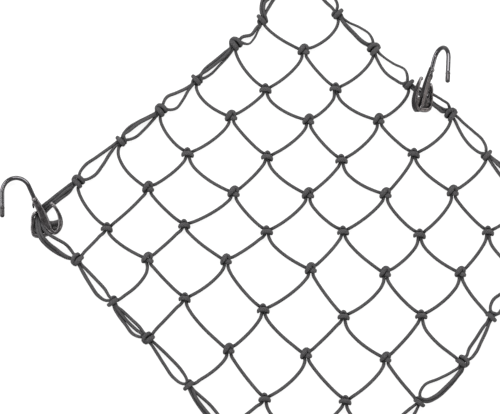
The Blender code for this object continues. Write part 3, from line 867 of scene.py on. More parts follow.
TOP_TURN = {
    Cord.OUTER: (
        (20.5, -15.5, 2.4), (14.5, -8.6, 2.0), (9.0, -2.2, 2.0), (4.4, 3.2, 2.1), (0.2, 5.8, 3.0),
        (-2.8, 4.2, 5.8), (-4.4, 0.2, 9.2), (-6.4, -4.6, 12.0), (-9.2, -10.6, 11.6),
        (-12.4, -17.6, 8.4),
    ),
    Cord.INNER: (
        (16.6, -19.0, 2.4), (10.8, -12.2, 2.0), (5.2, -6.4, 2.1), (1.2, -3.0, 3.6),
        (-1.6, -3.6, 6.8), (-3.4, -7.8, 10.8), (-5.4, -12.6, 12.6), (-8.4, -18.4, 9.2),
    ),
}


@dataclass(frozen=True)
class Corners:
    """How cords turn the four corners, anticlockwise round the net."""

    def route(self, corner: tuple, cord: Cord) -> np.ndarray:
        """One cord's way round a corner.

        The left turn serves the right corner mirrored, and the top turn the bottom one turned
        half round.

        Args:
            corner: the corner's (i, j).
            cord: which of the border's cords.

        Returns:
            Rows of (x, y, z), in mm.
        """
        rows = np.array((LEFT_TURN if corner in (LEFT, RIGHT) else TOP_TURN)[cord], float)
        if corner == RIGHT:
            rows = rows[::-1] * (-1, 1, 1)
        if corner == BOTTOM:
            rows = rows * (-1, -1, 1)
        return rows + (*LATTICE.place(corner), 0)


CORNERS = Corners()


@dataclass
class Border:
    """The border: two rings of cord laid side by side, knotted together, turned in the clips."""

    sides: int = 14
    fine: float = 1.1
    coarse: float = 2.2
    apart: float = 1.4
    packed_until: float = 3.2
    fullness: float = 1.11
    entry_height: float = 4.4
    # The stretch that the side hook holds: share of the way from this knot, height.
    hooked: tuple = (LAST, 3)
    hooked_route: tuple = ((0.18, 7.2), (0.34, 10.4), (0.46, 11.5), (0.58, 11.2), (0.72, 9.0),
                           (0.84, 6.2))

    def through_knot(self, knot: tuple, way: np.ndarray, asides: tuple) -> np.ndarray:
        """One cord's way through a border knot.

        Args:
            knot: the knot.
            way: the border's direction there.
            asides: how far outwards the cord lies just before, in the middle and just after.

        Returns:
            Rows of (x, y, z).
        """
        out = np.array([way[1], -way[0]])
        before, packed, after = asides
        along = np.array([-KNOT_ENTRY, -self.packed_until, self.packed_until, KNOT_ENTRY])
        aside = np.array([before, packed, packed, after])
        plan = LATTICE.place(knot) + along[:, None] * way + aside[:, None] * out
        heights = (self.entry_height, KNOT_MIDDLE, KNOT_MIDDLE, self.entry_height)
        return np.column_stack([plan, heights])

    def stretch(self, side: BorderSide, k: int, cord: Cord) -> np.ndarray:
        """One cord between two knots of a side, in the order of the side's knots.

        Next to a corner only the row at its far quarter is kept, for the corner's turn follows.

        Args:
            side: the side.
            k: the stretch along it.
            cord: the outer or the inner ring's.

        Returns:
            Cord rows.
        """
        stretch = side.stretches[k]
        places = side.line(k, stretch.offsets(cord), np.full(3, BORDER_HEIGHT))
        if side.knots[k] == self.hooked:
            f, z = np.array(self.hooked_route).T
            start, way, out = side.across(k)
            aside = np.interp(f, QUARTERS, stretch.offsets(cord))
            places = np.column_stack([start + f[:, None] * way + aside[:, None] * out, z])
        rows = cord_rows(places, self.fullness * stretch.width(cord))
        if k == 0:
            return rows[2:]
        return rows[:1] if k == LAST - 1 else rows

    def ring(self, cord: Cord) -> np.ndarray:
        """The whole of one border cord, anticlockwise all the way round.

        Args:
            cord: the outer or the inner ring's.

        Returns:
            Cord rows.
        """
        pieces = []
        packed = self.apart if cord is Cord.OUTER else -self.apart
        for side in BORDER_SIDES:
            order = slice(None, None, -1 if side.backwards else 1)
            knots = side.knots[order]
            places = [LATTICE.place(knot) for knot in knots]
            offsets = [stretch.offsets(cord)[order] for stretch in side.stretches[order]]
            pieces.append(cord_rows(CORNERS.route(knots[0], cord), self.fullness * CORD))
            for n, k in enumerate(range(LAST)[order]):
                pieces.append(self.stretch(side, k, cord)[order])
                if n < LAST - 1:
                    before, here, after = places[n : n + 3]
                    way = unit(unit(here - before) + unit(after - here))
                    asides = (KNOT_SPREAD * offsets[n][2], packed, KNOT_SPREAD * offsets[n + 1][0])
                    pieces.append(cord_rows(self.through_knot(knots[n + 1], way, asides)))
        return chained(pieces)

    def build(self) -> bpy.types.Object:
        """Sweeps the two rings into one mesh.

        Returns:
            The border.
        """
        border = Surface("border_cords")
        for cord in (Cord.OUTER, Cord.INNER):
            rows = smooth_curve(self.ring(cord), self.fine, self.coarse, closed=True)
            border.add_cord(rows, self.sides, closed=True)
        return border.build()


# ------------------------------------------------------------------ hooks
@dataclass(frozen=True)
class Placing:
    """Where half of a hook lies, its clip or its wire: its neck in mm from the knot it holds,
    where a mm of the hook's own plane goes, towards its opening and up, and its slope.
    """

    neck: tuple = (-5.0, 22.4)
    across: tuple = (0.99, 0.0)
    along: tuple = (0.0, 1.0)
    slope: float = 0.05


@dataclass(frozen=True)
class HookSpot:
    """Where a hook lies and which way it opens and is turned."""

    name: str
    knot: tuple
    opens: int
    clip: Placing = Placing()
    wire: Placing = Placing(slope=0.138)
    turn: float = 0.0
    height: float = 8.0


HOOK_SPOTS = (
    HookSpot("left", LEFT, 1),
    HookSpot("top", TOP, 1),
    HookSpot("right", RIGHT, -1, Placing((5.0, 22.4)), Placing((5.0, 22.4), slope=0.138)),
    HookSpot("bottom", BOTTOM, 1, Placing((5.0, -22.4)), Placing((5.0, -22.4), slope=0.138),
             turn=180),
    HookSpot("side", (LAST, 3), -1, Placing((20.9, 14.2), (0.58, -0.23), (-0.05, 1.05), 0.46),
             Placing((20.6, 11.0), (0.5, -0.23), (-0.05, 0.97), -0.62), height=18.0),
)
# A moulded bar's sections in the hook's own plane, in mm from its neck: across, along,
# thickness in the plane, width square to it.
SHANK_AND_FRONT_PRONG = (
    (-0.6, 1.3, 4.8, 4.8), (1.1, -2.4, 5.8, 5.4), (7.1, -13.2, 7.5, 6.4), (10.2, -21.0, 8.2, 7.0),
    (13.7, -27.4, 6.8, 7.0), (16.8, -31.6, 4.8, 7.0), (20.0, -33.2, 4.2, 7.0),
    (23.8, -30.3, 4.2, 6.8), (25.8, -24.6, 4.6, 7.4), (25.1, -17.9, 4.0, 6.8),
    (23.2, -13.2, 3.5, 5.6), (19.8, -7.9, 3.3, 4.0), (17.2, -5.0, 3.2, 3.2),
)
REAR_PRONG = (
    (17.5, -32.8, 4.0, 5.6), (13.0, -34.6, 4.0, 6.0), (9.0, -35.6, 4.4, 6.2),
    (3.9, -36.5, 4.2, 6.2), (0.0, -35.6, 4.0, 6.2), (-1.7, -31.6, 3.6, 6.0),
    (-1.8, -24.0, 3.2, 5.4), (-1.6, -18.0, 3.2, 5.0), (-0.3, -14.8, 3.0, 4.4),
    (1.9, -13.0, 2.4, 3.0),
)


@dataclass(frozen=True)
class Web:
    """A thin web of the clip: its open edge and its far edge from one end to the other, in mm
    from the neck, and how far the open edge sags between its ends.
    """

    open_edge: tuple
    far_edge: tuple
    sag: float


WEBS = (
    Web(((12.4, -22.8), (25.0, -21.0)), ((16.4, -31.6), (23.4, -31.0)), 0.9),
    Web(((-1.4, -18.2), (9.4, -18.8)), ((-1.4, -35.2), (16.0, -33.2)), 8.6),
)
# A web's section from its open edge to its far edge: share of the way, share of its half.
WEB_SECTION = ((0, 0.4), (0.03, 0.8), (0.07, 1), (0.93, 1), (0.97, 0.8), (1, 0.4))
# The little spur behind the neck, in mm from the neck: across, along, square to the plane, width.
SPUR = ((-1.2, -3.6, 0.6, 1.2), (-1.3, -6.5, 0.8, 2.0), (-0.6, -9.5, 0.4, 1.4))
# The sleeve on the wire's end, a turned shape: share of its length, share of its width.
SLEEVE = (
    (0, 0.86), (0.01, 1.02), (0.05, 1.07), (0.12, 1.07), (0.14, 1.0), (0.18, 0.97), (0.4, 1.0),
    (0.7, 1.0), (0.84, 0.97), (0.91, 0.86), (0.96, 0.64), (0.99, 0.36), (1.0, 0.08),
)


@dataclass(frozen=True)
class Ball:
    """A ball of the clip: its middle in the hook's own plane and square to it, from the neck,
    its radius, in mm, and the painted highlight that it carries, from 0 to 1.
    """

    middle: tuple
    radius: float
    painted_light: float


@dataclass(frozen=True)
class Moulding:
    """How the clip's bars are moulded, in mm or as shares, and where they carry painted highlight.

    A bar's section is a rounded rectangle; each face has a raised rim round a dished middle.
    """

    spacing: float = 0.9
    sides: int = 40
    squareness: float = 0.5
    blunt: float = 1.6
    least_end: float = 0.03
    rim: float = 1.3
    rim_flat: float = 0.55
    rim_slope: float = 0.7
    dish: float = 0.9
    dish_from: float = 3.2
    dish_over: float = 2.4
    crest_at: float = 0.5
    crest_wide: float = 0.36
    face_from: float = 0.55
    far_rim_until: float = 24.0
    fade: float = 5.0
    # How strong the painted highlight is on the rims' crests and at the bar's end.
    rim_highlight: float = 0.8
    tip_highlight: float = 0.7
    tip_reach: float = 1.6

    def ends(self, left: np.ndarray) -> np.ndarray:
        """The share of its size that the bar keeps, by the way left to its blunt end.

        Args:
            left: how much of the bar is left, in mm.

        Returns:
            sqrt(1 - (1 - left / blunt)^2), held between a small share and 1.
        """
        away = 1 - np.clip(left / self.blunt, 0, 1)
        return np.sqrt(np.clip(1 - away**2, self.least_end, 1))

    def trough(self, inside: np.ndarray, thick: np.ndarray) -> np.ndarray:
        """How deep the faces are dished: a smooth step in from the rim, shallower in thin parts.

        Args:
            inside: how far in from the bar's edge each point lies.
            thick: the bar's thickness at each section.

        Returns:
            Depths in mm.
        """
        step = np.clip((inside - self.rim * self.rim_flat) / (self.rim * self.rim_slope), 0, 1)
        step = step * step * (3 - 2 * step)
        share = np.clip((thick - self.dish_from) / self.dish_over, 0, 1)
        return self.dish * share[:, None] * step

    def painted_light_marks(self, inside: np.ndarray, s: np.ndarray, w: np.ndarray,
             gone: np.ndarray) -> np.ndarray:
        """How strongly each point is painted with highlight: along the rims' crests, on both edges
        near the neck and on one edge further out, and all over near the bar's end.

        Args:
            inside: how far in from the bar's edge each point lies.
            s: each point's place across the section, from -1 to 1.
            w: its place square to the hook's plane, from -1 to 1.
            gone: the way along the bar to each section, in mm.

        Returns:
            Numbers from 0 to 1.
        """
        # Painted highlight: paler colour along the rims' crests, where light catches, and near the
        # bar's end.
        crest = np.exp(-((inside - self.rim * self.crest_at) / (self.rim * self.crest_wide)) ** 2)
        near_neck = np.clip((self.far_rim_until - gone[:, None]) / self.fade, 0, 1)
        painted_light = crest * np.where(s > 0, 1, near_neck)
        painted_light = painted_light * (np.abs(w)[None] > self.face_from) * self.rim_highlight
        left = gone[-1] - gone
        tip = self.tip_highlight * np.clip(self.tip_reach - left / self.fade, 0, 1)
        return np.maximum(painted_light, tip[:, None])


@dataclass
class Hook:
    """A moulded clip on the border and the bent wire that it carries."""

    spot: HookSpot
    moulding: Moulding = Moulding()
    wire: float = 4.4
    wire_root: tuple = (-3.0, 0.0, 3.5, 7.5)
    arch_middle: tuple = (-18.0, 6.0)
    arch_radius: float = 13.9
    arch_steps: int = 40
    lean: float = 24.7
    leg_start: float = 3.0
    leg_end: float = -8.4
    leg_steps: int = 6
    in_sleeve: float = 1.0
    tip_end: float = -18.5
    tip_width: float = 4.6
    web_thick: float = 2.2
    web_rib: float = 2.4
    # How much painted shade darkens the recessed webs.
    web_painted_shade: float = 0.35
    web_steps: int = 17
    # The balls carry painted highlight.
    balls: tuple = (Ball((17.2, -5.0, 0.5), 2.0, 0.7), Ball((-0.2, -1.0, 1.2), 2.5, 0.6))
    ball_steps: int = 13
    ball_pole: float = 0.995
    ball_sides: int = 14
    wire_sides: int = 20
    thin_sides: int = 10

    def place(self, across: np.ndarray, along: np.ndarray, wide: np.ndarray,
              how: Placing) -> np.ndarray:
        """Points of the hook, from its own plane to their place on the net.

        Args:
            across: mm across the hook's plane.
            along: mm along it.
            wide: mm square to it.
            how: the placing of the half that holds the points.

        Returns:
            Places in mm, with a last axis of 3.
        """
        spot, turn = self.spot, math.radians(self.spot.turn)
        off_axis = across + along * math.tan(math.radians(self.lean))
        length = math.hypot(how.across[0], how.slope)
        shift = across * how.across[0] + along * how.along[0]
        x = spot.opens * (shift - wide * how.slope / length)
        y = across * how.across[1] + along * how.along[1]
        z = spot.height + off_axis * how.slope + wide * how.across[0] / length
        at = LATTICE.place(spot.knot) + np.array(how.neck)
        return np.stack([at[0] + x * math.cos(turn) - y * math.sin(turn),
                         at[1] + x * math.sin(turn) + y * math.cos(turn), z], axis=-1)

    def add_outwards(self, surface: Surface, grid: np.ndarray, along: np.ndarray,
                     painted_light: np.ndarray) -> None:
        """Adds a tube of the clip, its rings reversed on a hook that opens the other way.

        Args:
            surface: the mesh that it is added to.
            grid: its rings of points, in mm.
            along: the map's value along the tube for each ring.
            painted_light: the painted highlight on each point, with painted shade below 0.
        """
        if self.spot.opens < 0:
            grid, painted_light = grid[:, ::-1], painted_light[:, ::-1]
        surface.add_grid(grid, along, painted_light=painted_light)

    def bar(self, surface: Surface, table: tuple) -> None:
        """A moulded bar carried along its sections, with a rim along each edge of its faces whose
        crest carries painted highlight.

        Around the bar the section is a rounded rectangle: at angle t its sides stand at
        |cos t|^0.5 and |sin t|^0.5 of its half sizes.

        Args:
            surface: the mesh that it is added to.
            table: the sections.
        """
        how = self.moulding
        rows = np.array(table, float)
        rows = smooth_curve(np.column_stack([rows[:, :2], np.zeros(len(rows)), rows[:, 2:]]),
                            how.spacing, how.spacing)
        way = unit(np.gradient(rows[:, :2], axis=0))
        square = np.column_stack([-way[:, 1], way[:, 0]])
        gone = lengths_along(rows[:, :2])
        thick, wide = (rows[:, 3:] * how.ends(gone[-1] - gone)[:, None]).T
        t = 2 * np.pi * (np.arange(how.sides) + 0.5) / how.sides
        s = np.sign(np.cos(t)) * np.abs(np.cos(t)) ** how.squareness
        w = np.sign(np.sin(t)) * np.abs(np.sin(t)) ** how.squareness
        inside = thick[:, None] / 2 * (1 - np.abs(s)[None])
        deep = how.trough(inside, thick)
        flat = wide[:, None] / 2 * w[None] - np.sign(w)[None] * deep * np.abs(w)[None]
        aside = thick[:, None] / 2 * s[None]
        across = rows[:, 0:1] + square[:, 0:1] * aside
        along = rows[:, 1:2] + square[:, 1:2] * aside
        # The bar carries painted highlight on its rims' crests and near its end.
        self.add_outwards(surface, self.place(across, along, flat, self.spot.clip),
                          gone / (np.pi * CORD), how.painted_light_marks(inside, s, w, gone))

    def build_clip(self) -> bpy.types.Object:
        """The clip: shank and front prong, rear prong, their webs, two balls and a spur.

        Returns:
            The clip.
        """
        clip = Surface(f"clip_{self.spot.name}")
        self.bar(clip, SHANK_AND_FRONT_PRONG)
        self.bar(clip, REAR_PRONG)
        for web in WEBS:
            self.web(clip, web)
        for ball in self.balls:
            self.ball(clip, ball)
        spur = np.array(SPUR)
        self.rod(clip, spur[:, :3], spur[:, 3], self.spot.clip, self.thin_sides)
        return clip.build()

    def web(self, surface: Surface, web: Web) -> None:
        """A thin flat web between two parts of the clip, with a round rib over its open edge.

        The open edge hangs below the line between its ends by sag * sin(pi f) at share f.

        Args:
            surface: the mesh that it is added to.
            web: its edges.
        """
        f = np.linspace(0, 1, self.web_steps)[:, None]
        top, low = (np.array(edge[0]) + np.subtract(edge[1], edge[0]) * f
                    for edge in (web.open_edge, web.far_edge))
        top[:, 1] -= web.sag * np.sin(np.pi * f[:, 0])
        share, half = np.array(WEB_SECTION).T
        share = np.append(share, share[::-1])
        half = np.append(half, -half[::-1]) * self.web_thick / 2
        flat = top[:, None] + (low - top)[:, None] * share[None, :, None]
        wide = np.broadcast_to(half, flat.shape[:2])
        grid = self.place(flat[..., 0], flat[..., 1], wide, self.spot.clip)
        # The webs lie recessed between the bars and carry painted shade.
        self.add_outwards(surface, grid, f[:, 0], np.full(wide.shape, -self.web_painted_shade))
        rib = np.column_stack([top, np.zeros(len(top))])
        self.rod(surface, rib, np.full(len(top), self.web_rib), self.spot.clip, self.thin_sides)

    def rod(self, surface: Surface, line: np.ndarray, widths: np.ndarray, how: Placing,
            sides: int) -> None:
        """A round rod along a line in the hook's own plane.

        Args:
            surface: the mesh that it is added to.
            line: rows of (across, along, wide), in mm.
            widths: the rod's width at each row.
            how: the placing of the half that it belongs to.
            sides: how many points go around.
        """
        middle = self.place(line[:, 0], line[:, 1], line[:, 2], how)
        ups = self.place(line[:, 0], line[:, 1], line[:, 2] + 1.0, how) - middle
        rows = np.column_stack([middle, widths, widths, ups])
        surface.add_cord(rows, sides)

    def ball(self, surface: Surface, ball: Ball) -> None:
        """A ball, as a rod whose width at each height is that of a circle.

        Args:
            surface: the mesh that it is added to.
            ball: its place, radius and painted highlight.
        """
        t = np.linspace(-self.ball_pole, self.ball_pole, self.ball_steps)
        across, along, wide = (np.full(len(t), value) for value in ball.middle)
        wide = wide + t * ball.radius
        centre = self.place(across, along, wide, self.spot.clip)
        aside = self.place(across + 1, along, wide, self.spot.clip) - centre
        widths = 2 * ball.radius * np.sqrt(1 - t**2)
        # The ball carries painted highlight.
        surface.add_cord(np.column_stack([centre, widths, widths, aside]), self.ball_sides,
                         painted_light=ball.painted_light)

    def wire_line(self) -> np.ndarray:
        """The wire's middle line: out of the clip, over the arch and down its free leg.

        The arch is a round one, from the lean of the shank to straight down.

        Returns:
            Rows of (across, along, wide) in the hook's own plane, in mm.
        """
        lean = math.radians(self.lean)
        start = np.array([[-s * math.tan(lean), s] for s in self.wire_root])
        t = np.linspace(lean, math.pi, self.arch_steps)
        arch = np.column_stack([self.arch_middle[0] + self.arch_radius * np.cos(t),
                                self.arch_middle[1] + self.arch_radius * np.sin(t)])
        heights = np.linspace(self.leg_start, self.leg_end - self.in_sleeve, self.leg_steps)
        leg = np.column_stack([np.full(len(heights), self.leg_across()), heights])
        line = np.vstack([start, arch, leg])
        return np.column_stack([line, np.zeros(len(line))])

    def leg_across(self) -> float:
        """Where the wire's free leg lies across the hook's plane."""
        return self.arch_middle[0] - self.arch_radius

    def build_wire(self) -> bpy.types.Object:
        """The bent wire.

        Returns:
            The wire.
        """
        wire = Surface(f"wire_{self.spot.name}")
        line = self.wire_line()
        self.rod(wire, line, np.full(len(line), self.wire), self.spot.wire, self.wire_sides)
        return wire.build()

    def build_tip(self) -> bpy.types.Object:
        """The sleeve on the wire's end, with a collar and a rounded nose.

        Returns:
            The sleeve.
        """
        tip = Surface(f"tip_{self.spot.name}")
        f, share = np.array(SLEEVE).T
        line = np.column_stack([np.full(len(f), self.leg_across()),
                                self.leg_end - (self.leg_end - self.tip_end) * f,
                                np.zeros(len(f))])
        self.rod(tip, line, self.tip_width * share, self.spot.wire, self.wire_sides)
        return tip.build()


# ------------------------------------------------------------------ finishes
@dataclass(frozen=True)
class Grain:
    """A noise: its features a metre, its octaves and how strong the finer ones are."""

    scale: float
    detail: float
    rough: float = 0.5


class Graph:
    """A material's nodes, added one call at a time.

    LOOKS is how often a point looks round for near surfaces, LEFT_IN_SHADE what painted shade
    leaves of the colour in a fold.
    """

    LOOKS = 8
    LEFT_IN_SHADE = 0.1

    def __init__(self, name: str) -> None:
        """Starts a material with an empty Principled shader.

        Args:
            name: the material's name.
        """
        self.material = bpy.data.materials.new(name)
        self.material.use_nodes = True
        self.tree = self.material.node_tree
        self.shader = self.tree.nodes["Principled BSDF"]

    def node(self, kind: str, **settings) -> bpy.types.Node:
        """A new node with its settings.

        Args:
            kind: the node's type.
            settings: its properties and their values.

        Returns:
            The node.
        """
        node = self.tree.nodes.new(kind)
        for key, value in settings.items():
            setattr(node, key, value)
        return node

    def join(self, source: bpy.types.NodeSocket, target: bpy.types.NodeSocket) -> None:
        """Links two sockets."""
        self.tree.links.new(source, target)

    def fill(self, socket: bpy.types.NodeSocket, value: object) -> None:
        """Links a socket, or gives it a constant.

        Args:
            socket: the input.
            value: another node's output, or a number.
        """
        if isinstance(value, bpy.types.NodeSocket):
            self.join(value, socket)
        else:
            socket.default_value = value

    def math(self, operation: str, *values: object) -> bpy.types.NodeSocket:
        """The result of a Math node on sockets or constants.

        Args:
            operation: the node's operation.
            values: its inputs in order.

        Returns:
            Its output.
        """
        node = self.node("ShaderNodeMath", operation=operation)
        for socket, value in zip(node.inputs, values):
            self.fill(socket, value)
        return node.outputs[0]

    def noise(self, grain: Grain) -> bpy.types.NodeSocket:
        """A noise over the object's own coordinates.

        Args:
            grain: its features and octaves.

        Returns:
            The noise, about 0.5 on the whole.
        """
        node = self.node("ShaderNodeTexNoise")
        self.join(self.node("ShaderNodeTexCoord").outputs["Object"], node.inputs["Vector"])
        node.inputs["Scale"].default_value = grain.scale
        node.inputs["Detail"].default_value = grain.detail
        node.inputs["Roughness"].default_value = grain.rough
        return node.outputs["Fac"]

    def spread(self, value: object, low: float, high: float, to_low: float,
               to_high: float) -> bpy.types.NodeSocket:
        """A value's range mapped on another, held at its ends.

        Args:
            value: the value.
            low: where the first range starts.
            high: where it ends.
            to_low: where the other range starts.
            to_high: where it ends.

        Returns:
            The mapped value.
        """
        node = self.node("ShaderNodeMapRange")
        for socket, number in zip(node.inputs[:5], (value, low, high, to_low, to_high)):
            self.fill(socket, number)
        return node.outputs[0]

    def paint(self, tone: bpy.types.NodeSocket, stops: tuple, *colours: tuple) -> None:
        """Colours the shader by a tone, with blends between the stops.

        Args:
            tone: a number from 0 to 1.
            stops: the tones at which the colours stand.
            colours: a red, green and blue for each stop.
        """
        node = self.node("ShaderNodeValToRGB")
        band = node.color_ramp.elements
        while len(band) < len(stops):
            band.new(0.5)
        for element, at, colour in zip(band, stops, colours):
            element.position = at
            element.color = (*colour, 1.0)
        self.join(tone, node.inputs[0])
        self.join(node.outputs[0], self.shader.inputs["Base Color"])

    def bump(self, height: bpy.types.NodeSocket, distance: float, strength: float,
             under: object = None) -> bpy.types.NodeSocket:
        """A bump from a height between 0 and 1, over another bump if one is given.

        Args:
            height: the height.
            distance: how high the highest place stands, in metres.
            strength: how strong the bump is, from 0 to 1.
            under: the other bump.

        Returns:
            The bumped normal.
        """
        node = self.node("ShaderNodeBump")
        node.inputs["Distance"].default_value = distance
        node.inputs["Strength"].default_value = strength
        self.join(height, node.inputs["Height"])
        if under is not None:
            self.join(under, node.inputs["Normal"])
        return node.outputs[0]

    def crevice_shade_factor(self, reach: float, shut: float, wide_open: float) -> bpy.types.NodeSocket:
        """Painted shade by how open the surface lies: LEFT_IN_SHADE between pressed strands, 1 out
        in the open.

        Args:
            reach: how near another surface has to be to count, in metres.
            shut: the open share of the sky at which the surface is darkest.
            wide_open: the open share from which it is not darkened.

        Returns:
            The number's socket.
        """
        # Painted shade: the colour is darkened where near surfaces hide the sky, in creases and
        # folds.
        node = self.node("ShaderNodeAmbientOcclusion", samples=self.LOOKS)
        node.inputs["Distance"].default_value = reach
        return self.spread(node.outputs["AO"], shut, wide_open, self.LEFT_IN_SHADE, 1.0)


@dataclass(frozen=True)
class BraidFinish:
    """Braided synthetic cord: eight strands each way round, matt, a little fuzzy."""

    name: str = "braided_cord"
    strands: int = 8
    slant: float = 0.62
    light: tuple = (0.0462, 0.0443, 0.0457)
    dark: tuple = (0.012, 0.012, 0.013)
    shade: tuple = (0.002, 0.002, 0.002)
    roughness: float = 0.72
    sheen: float = 0.03
    sheen_roughness: float = 0.5
    shine: float = 0.12
    along_way: float = 0.28
    across_way: float = 0.7
    # The wear noise is the cord's own uneven tone.
    wear_and_painted_light: Grain = Grain(45.0, 3.0, 0.6)
    fibre: Grain = Grain(2600.0, 2.0, 0.7)
    # Shares of the tone: the pillow, whose grooves carry painted shade, the wear noise and the
    # fibre.
    tone_shares: tuple = (0.72, 0.36, 0.30)
    fold_shade: tuple = (0.006, 0.38, 0.98)
    stops: tuple = (0.0, 0.30, 0.95)
    ribs: tuple = (0.00022, 0.9)
    fuzz: tuple = (0.00012, 0.35)

    def make(self) -> bpy.types.Material:
        """The material, drawn on the map along and around each cord.

        Two families of strands run round the cord as helices, p = strands (v + slant u) and
        q = strands (v - slant u). Where sin(pi p) sin(pi q) is positive the first family lies on
        top, elsewhere the second; each shows as a pillow, long its own way. The colour darkens
        towards the pillows' edges as painted shade in the grooves between strands, and in creases
        as painted shade from near surfaces.

        Returns:
            The material.
        """
        g = Graph(self.name)
        split = g.node("ShaderNodeSeparateXYZ")
        g.join(g.node("ShaderNodeUVMap", uv_map="cord").outputs[0], split.inputs[0])
        u, v = split.outputs[0], split.outputs[1]
        slanted = g.math("MULTIPLY", u, self.slant)
        p = g.math("MULTIPLY", g.math("ADD", v, slanted), self.strands * math.pi)
        q = g.math("MULTIPLY", g.math("SUBTRACT", v, slanted), self.strands * math.pi)
        sp, sq = g.math("SINE", p), g.math("SINE", q)
        ap, aq = g.math("ABSOLUTE", sp), g.math("ABSOLUTE", sq)
        over = g.math("GREATER_THAN", g.math("MULTIPLY", sp, sq), 0.0)
        short, long = self.across_way, self.along_way
        first, second = (g.math("MULTIPLY", g.math("POWER", ap, one), g.math("POWER", aq, other))
                         for one, other in ((short, long), (long, short)))
        swap = g.math("SUBTRACT", 1.0, over)
        pillow = g.math("ADD", g.math("MULTIPLY", first, over), g.math("MULTIPLY", second, swap))
        fibre = g.noise(self.fibre)
        # The pillow's share darkens the grooves between strands as painted shade; wear and fibre
        # are the cord's own tone.
        parts = (pillow, g.noise(self.wear_and_painted_light), g.math("SUBTRACT", fibre, 0.5))
        shares = [g.math("MULTIPLY", part, share) for part, share in zip(parts, self.tone_shares)]
        tone = g.math("ADD", g.math("ADD", shares[0], shares[1]), shares[2])
        # Painted shade: the tone darkens in creases between strands and where the cord meets the
        # floor.
        tone = g.math("MULTIPLY", tone, g.crevice_shade_factor(*self.fold_shade))
        g.paint(tone, self.stops, self.shade, self.dark, self.light)
        g.join(g.bump(fibre, *self.fuzz, g.bump(pillow, *self.ribs)), g.shader.inputs["Normal"])
        g.shader.inputs["Roughness"].default_value = self.roughness
        g.shader.inputs["Sheen Weight"].default_value = self.sheen
        g.shader.inputs["Sheen Roughness"].default_value = self.sheen_roughness
        g.shader.inputs["Specular IOR Level"].default_value = self.shine
        return g.material


@dataclass(frozen=True)
class EnamelFinish:
    """Dark enamelled wire: glossy, with a faint orange peel and spots paled by rubbing."""

    name: str = "enamelled_wire"
    light: tuple = (0.066, 0.064, 0.068)
    dark: tuple = (0.042, 0.040, 0.043)
    metallic: float = 0.9
    coat: float = 0.15
    coat_roughness: float = 0.12
    rub: Grain = Grain(160.0, 4.0, 0.62)
    peel: Grain = Grain(900.0, 2.0)
    stops: tuple = (0.35, 0.75)
    roughness: tuple = (0.14, 0.20)
    peel_bump: tuple = (0.00010, 0.02)

    def make(self) -> bpy.types.Material:
        """The material.

        Returns:
            The material.
        """
        g = Graph(self.name)
        rub = g.noise(self.rub)
        g.paint(rub, self.stops, self.dark, self.light)
        g.join(g.spread(rub, *self.stops, *self.roughness), g.shader.inputs["Roughness"])
        g.join(g.bump(g.noise(self.peel), *self.peel_bump), g.shader.inputs["Normal"])
        g.shader.inputs["Metallic"].default_value = self.metallic
        g.shader.inputs["Coat Weight"].default_value = self.coat
        g.shader.inputs["Coat Roughness"].default_value = self.coat_roughness
        return g.material


@dataclass(frozen=True)
class MouldedFinish:
    """Moulded clip under a dark metallic lacquer, satin, scuffed paler here and there.

    Its rim crests, balls and tips carry painted highlight and are the palest; painted shade makes
    its folds and webs the darkest.
    """

    name: str = "moulded_plastic"
    light: tuple = (0.044, 0.041, 0.042)
    dark: tuple = (0.017, 0.0155, 0.016)
    shade: tuple = (0.004, 0.004, 0.004)
    # The palest colour, where the painted highlight is strongest.
    painted_light_marks: tuple = (0.15, 0.142, 0.145)
    metallic: float = 0.8
    scuff: Grain = Grain(210.0, 5.0, 0.65)
    grain: Grain = Grain(3200.0, 2.0)
    fold_shade: tuple = (0.005, 0.0, 0.6)
    tone_shares: tuple = (0.6, 0.4)
    stops: tuple = (0.06, 0.22, 0.43, 0.75)
    scuffed: tuple = (0.3, 0.75)
    roughness: tuple = (0.26, 0.34)
    grain_bump: tuple = (0.00008, 0.04)

    def make(self) -> bpy.types.Material:
        """The material.

        Returns:
            The material.
        """
        g = Graph(self.name)
        scuff = g.noise(self.scuff)
        # The mesh's layer: painted highlight on rims, balls and bar ends, painted shade on the
        # webs.
        painted_light = g.node("ShaderNodeAttribute", attribute_name="painted_light").outputs["Fac"]
        # The scuff tone is darkened by painted shade in folds.
        parts = (g.math("MULTIPLY", scuff, g.crevice_shade_factor(*self.fold_shade)), painted_light)
        shares = [g.math("MULTIPLY", part, share) for part, share in zip(parts, self.tone_shares)]
        g.paint(g.math("ADD", *shares), self.stops, self.shade, self.dark, self.light, self.painted_light_marks)
        g.join(g.spread(scuff, *self.scuffed, *self.roughness), g.shader.inputs["Roughness"])
        g.join(g.bump(g.noise(self.grain), *self.grain_bump), g.shader.inputs["Normal"])
        g.shader.inputs["Metallic"].default_value = self.metallic
        return g.material


@dataclass(frozen=True)
class FloorFinish:
    """Plain pale floor, a sheet lit faintly from below."""

    name: str = "pale_floor"
    colour: tuple = (0.13, 0.13, 0.13, 1.0)
    glow_colour: tuple = (1.0, 1.0, 1.0, 1.0)
    glow: float = 0.83
    roughness: float = 0.9
    shine: float = 0.1

    def make(self) -> bpy.types.Material:
        """The material.

        Returns:
            The material.
        """
        g = Graph(self.name)
        g.shader.inputs["Base Color"].default_value = self.colour
        g.shader.inputs["Emission Color"].default_value = self.glow_colour
        g.shader.inputs["Emission Strength"].default_value = self.glow
        g.shader.inputs["Roughness"].default_value = self.roughness
        g.shader.inputs["Specular IOR Level"].default_value = self.shine
        return g.material


# ------------------------------------------------------------------ the studio
@dataclass(frozen=True)
class SoftBox:
    """A soft box that faces the net's middle: its place, its two sizes in metres, its radiance."""

    name: str
    place: tuple
    size: tuple
    radiance: float
    tint: tuple = (1.0, 1.0, 1.0)


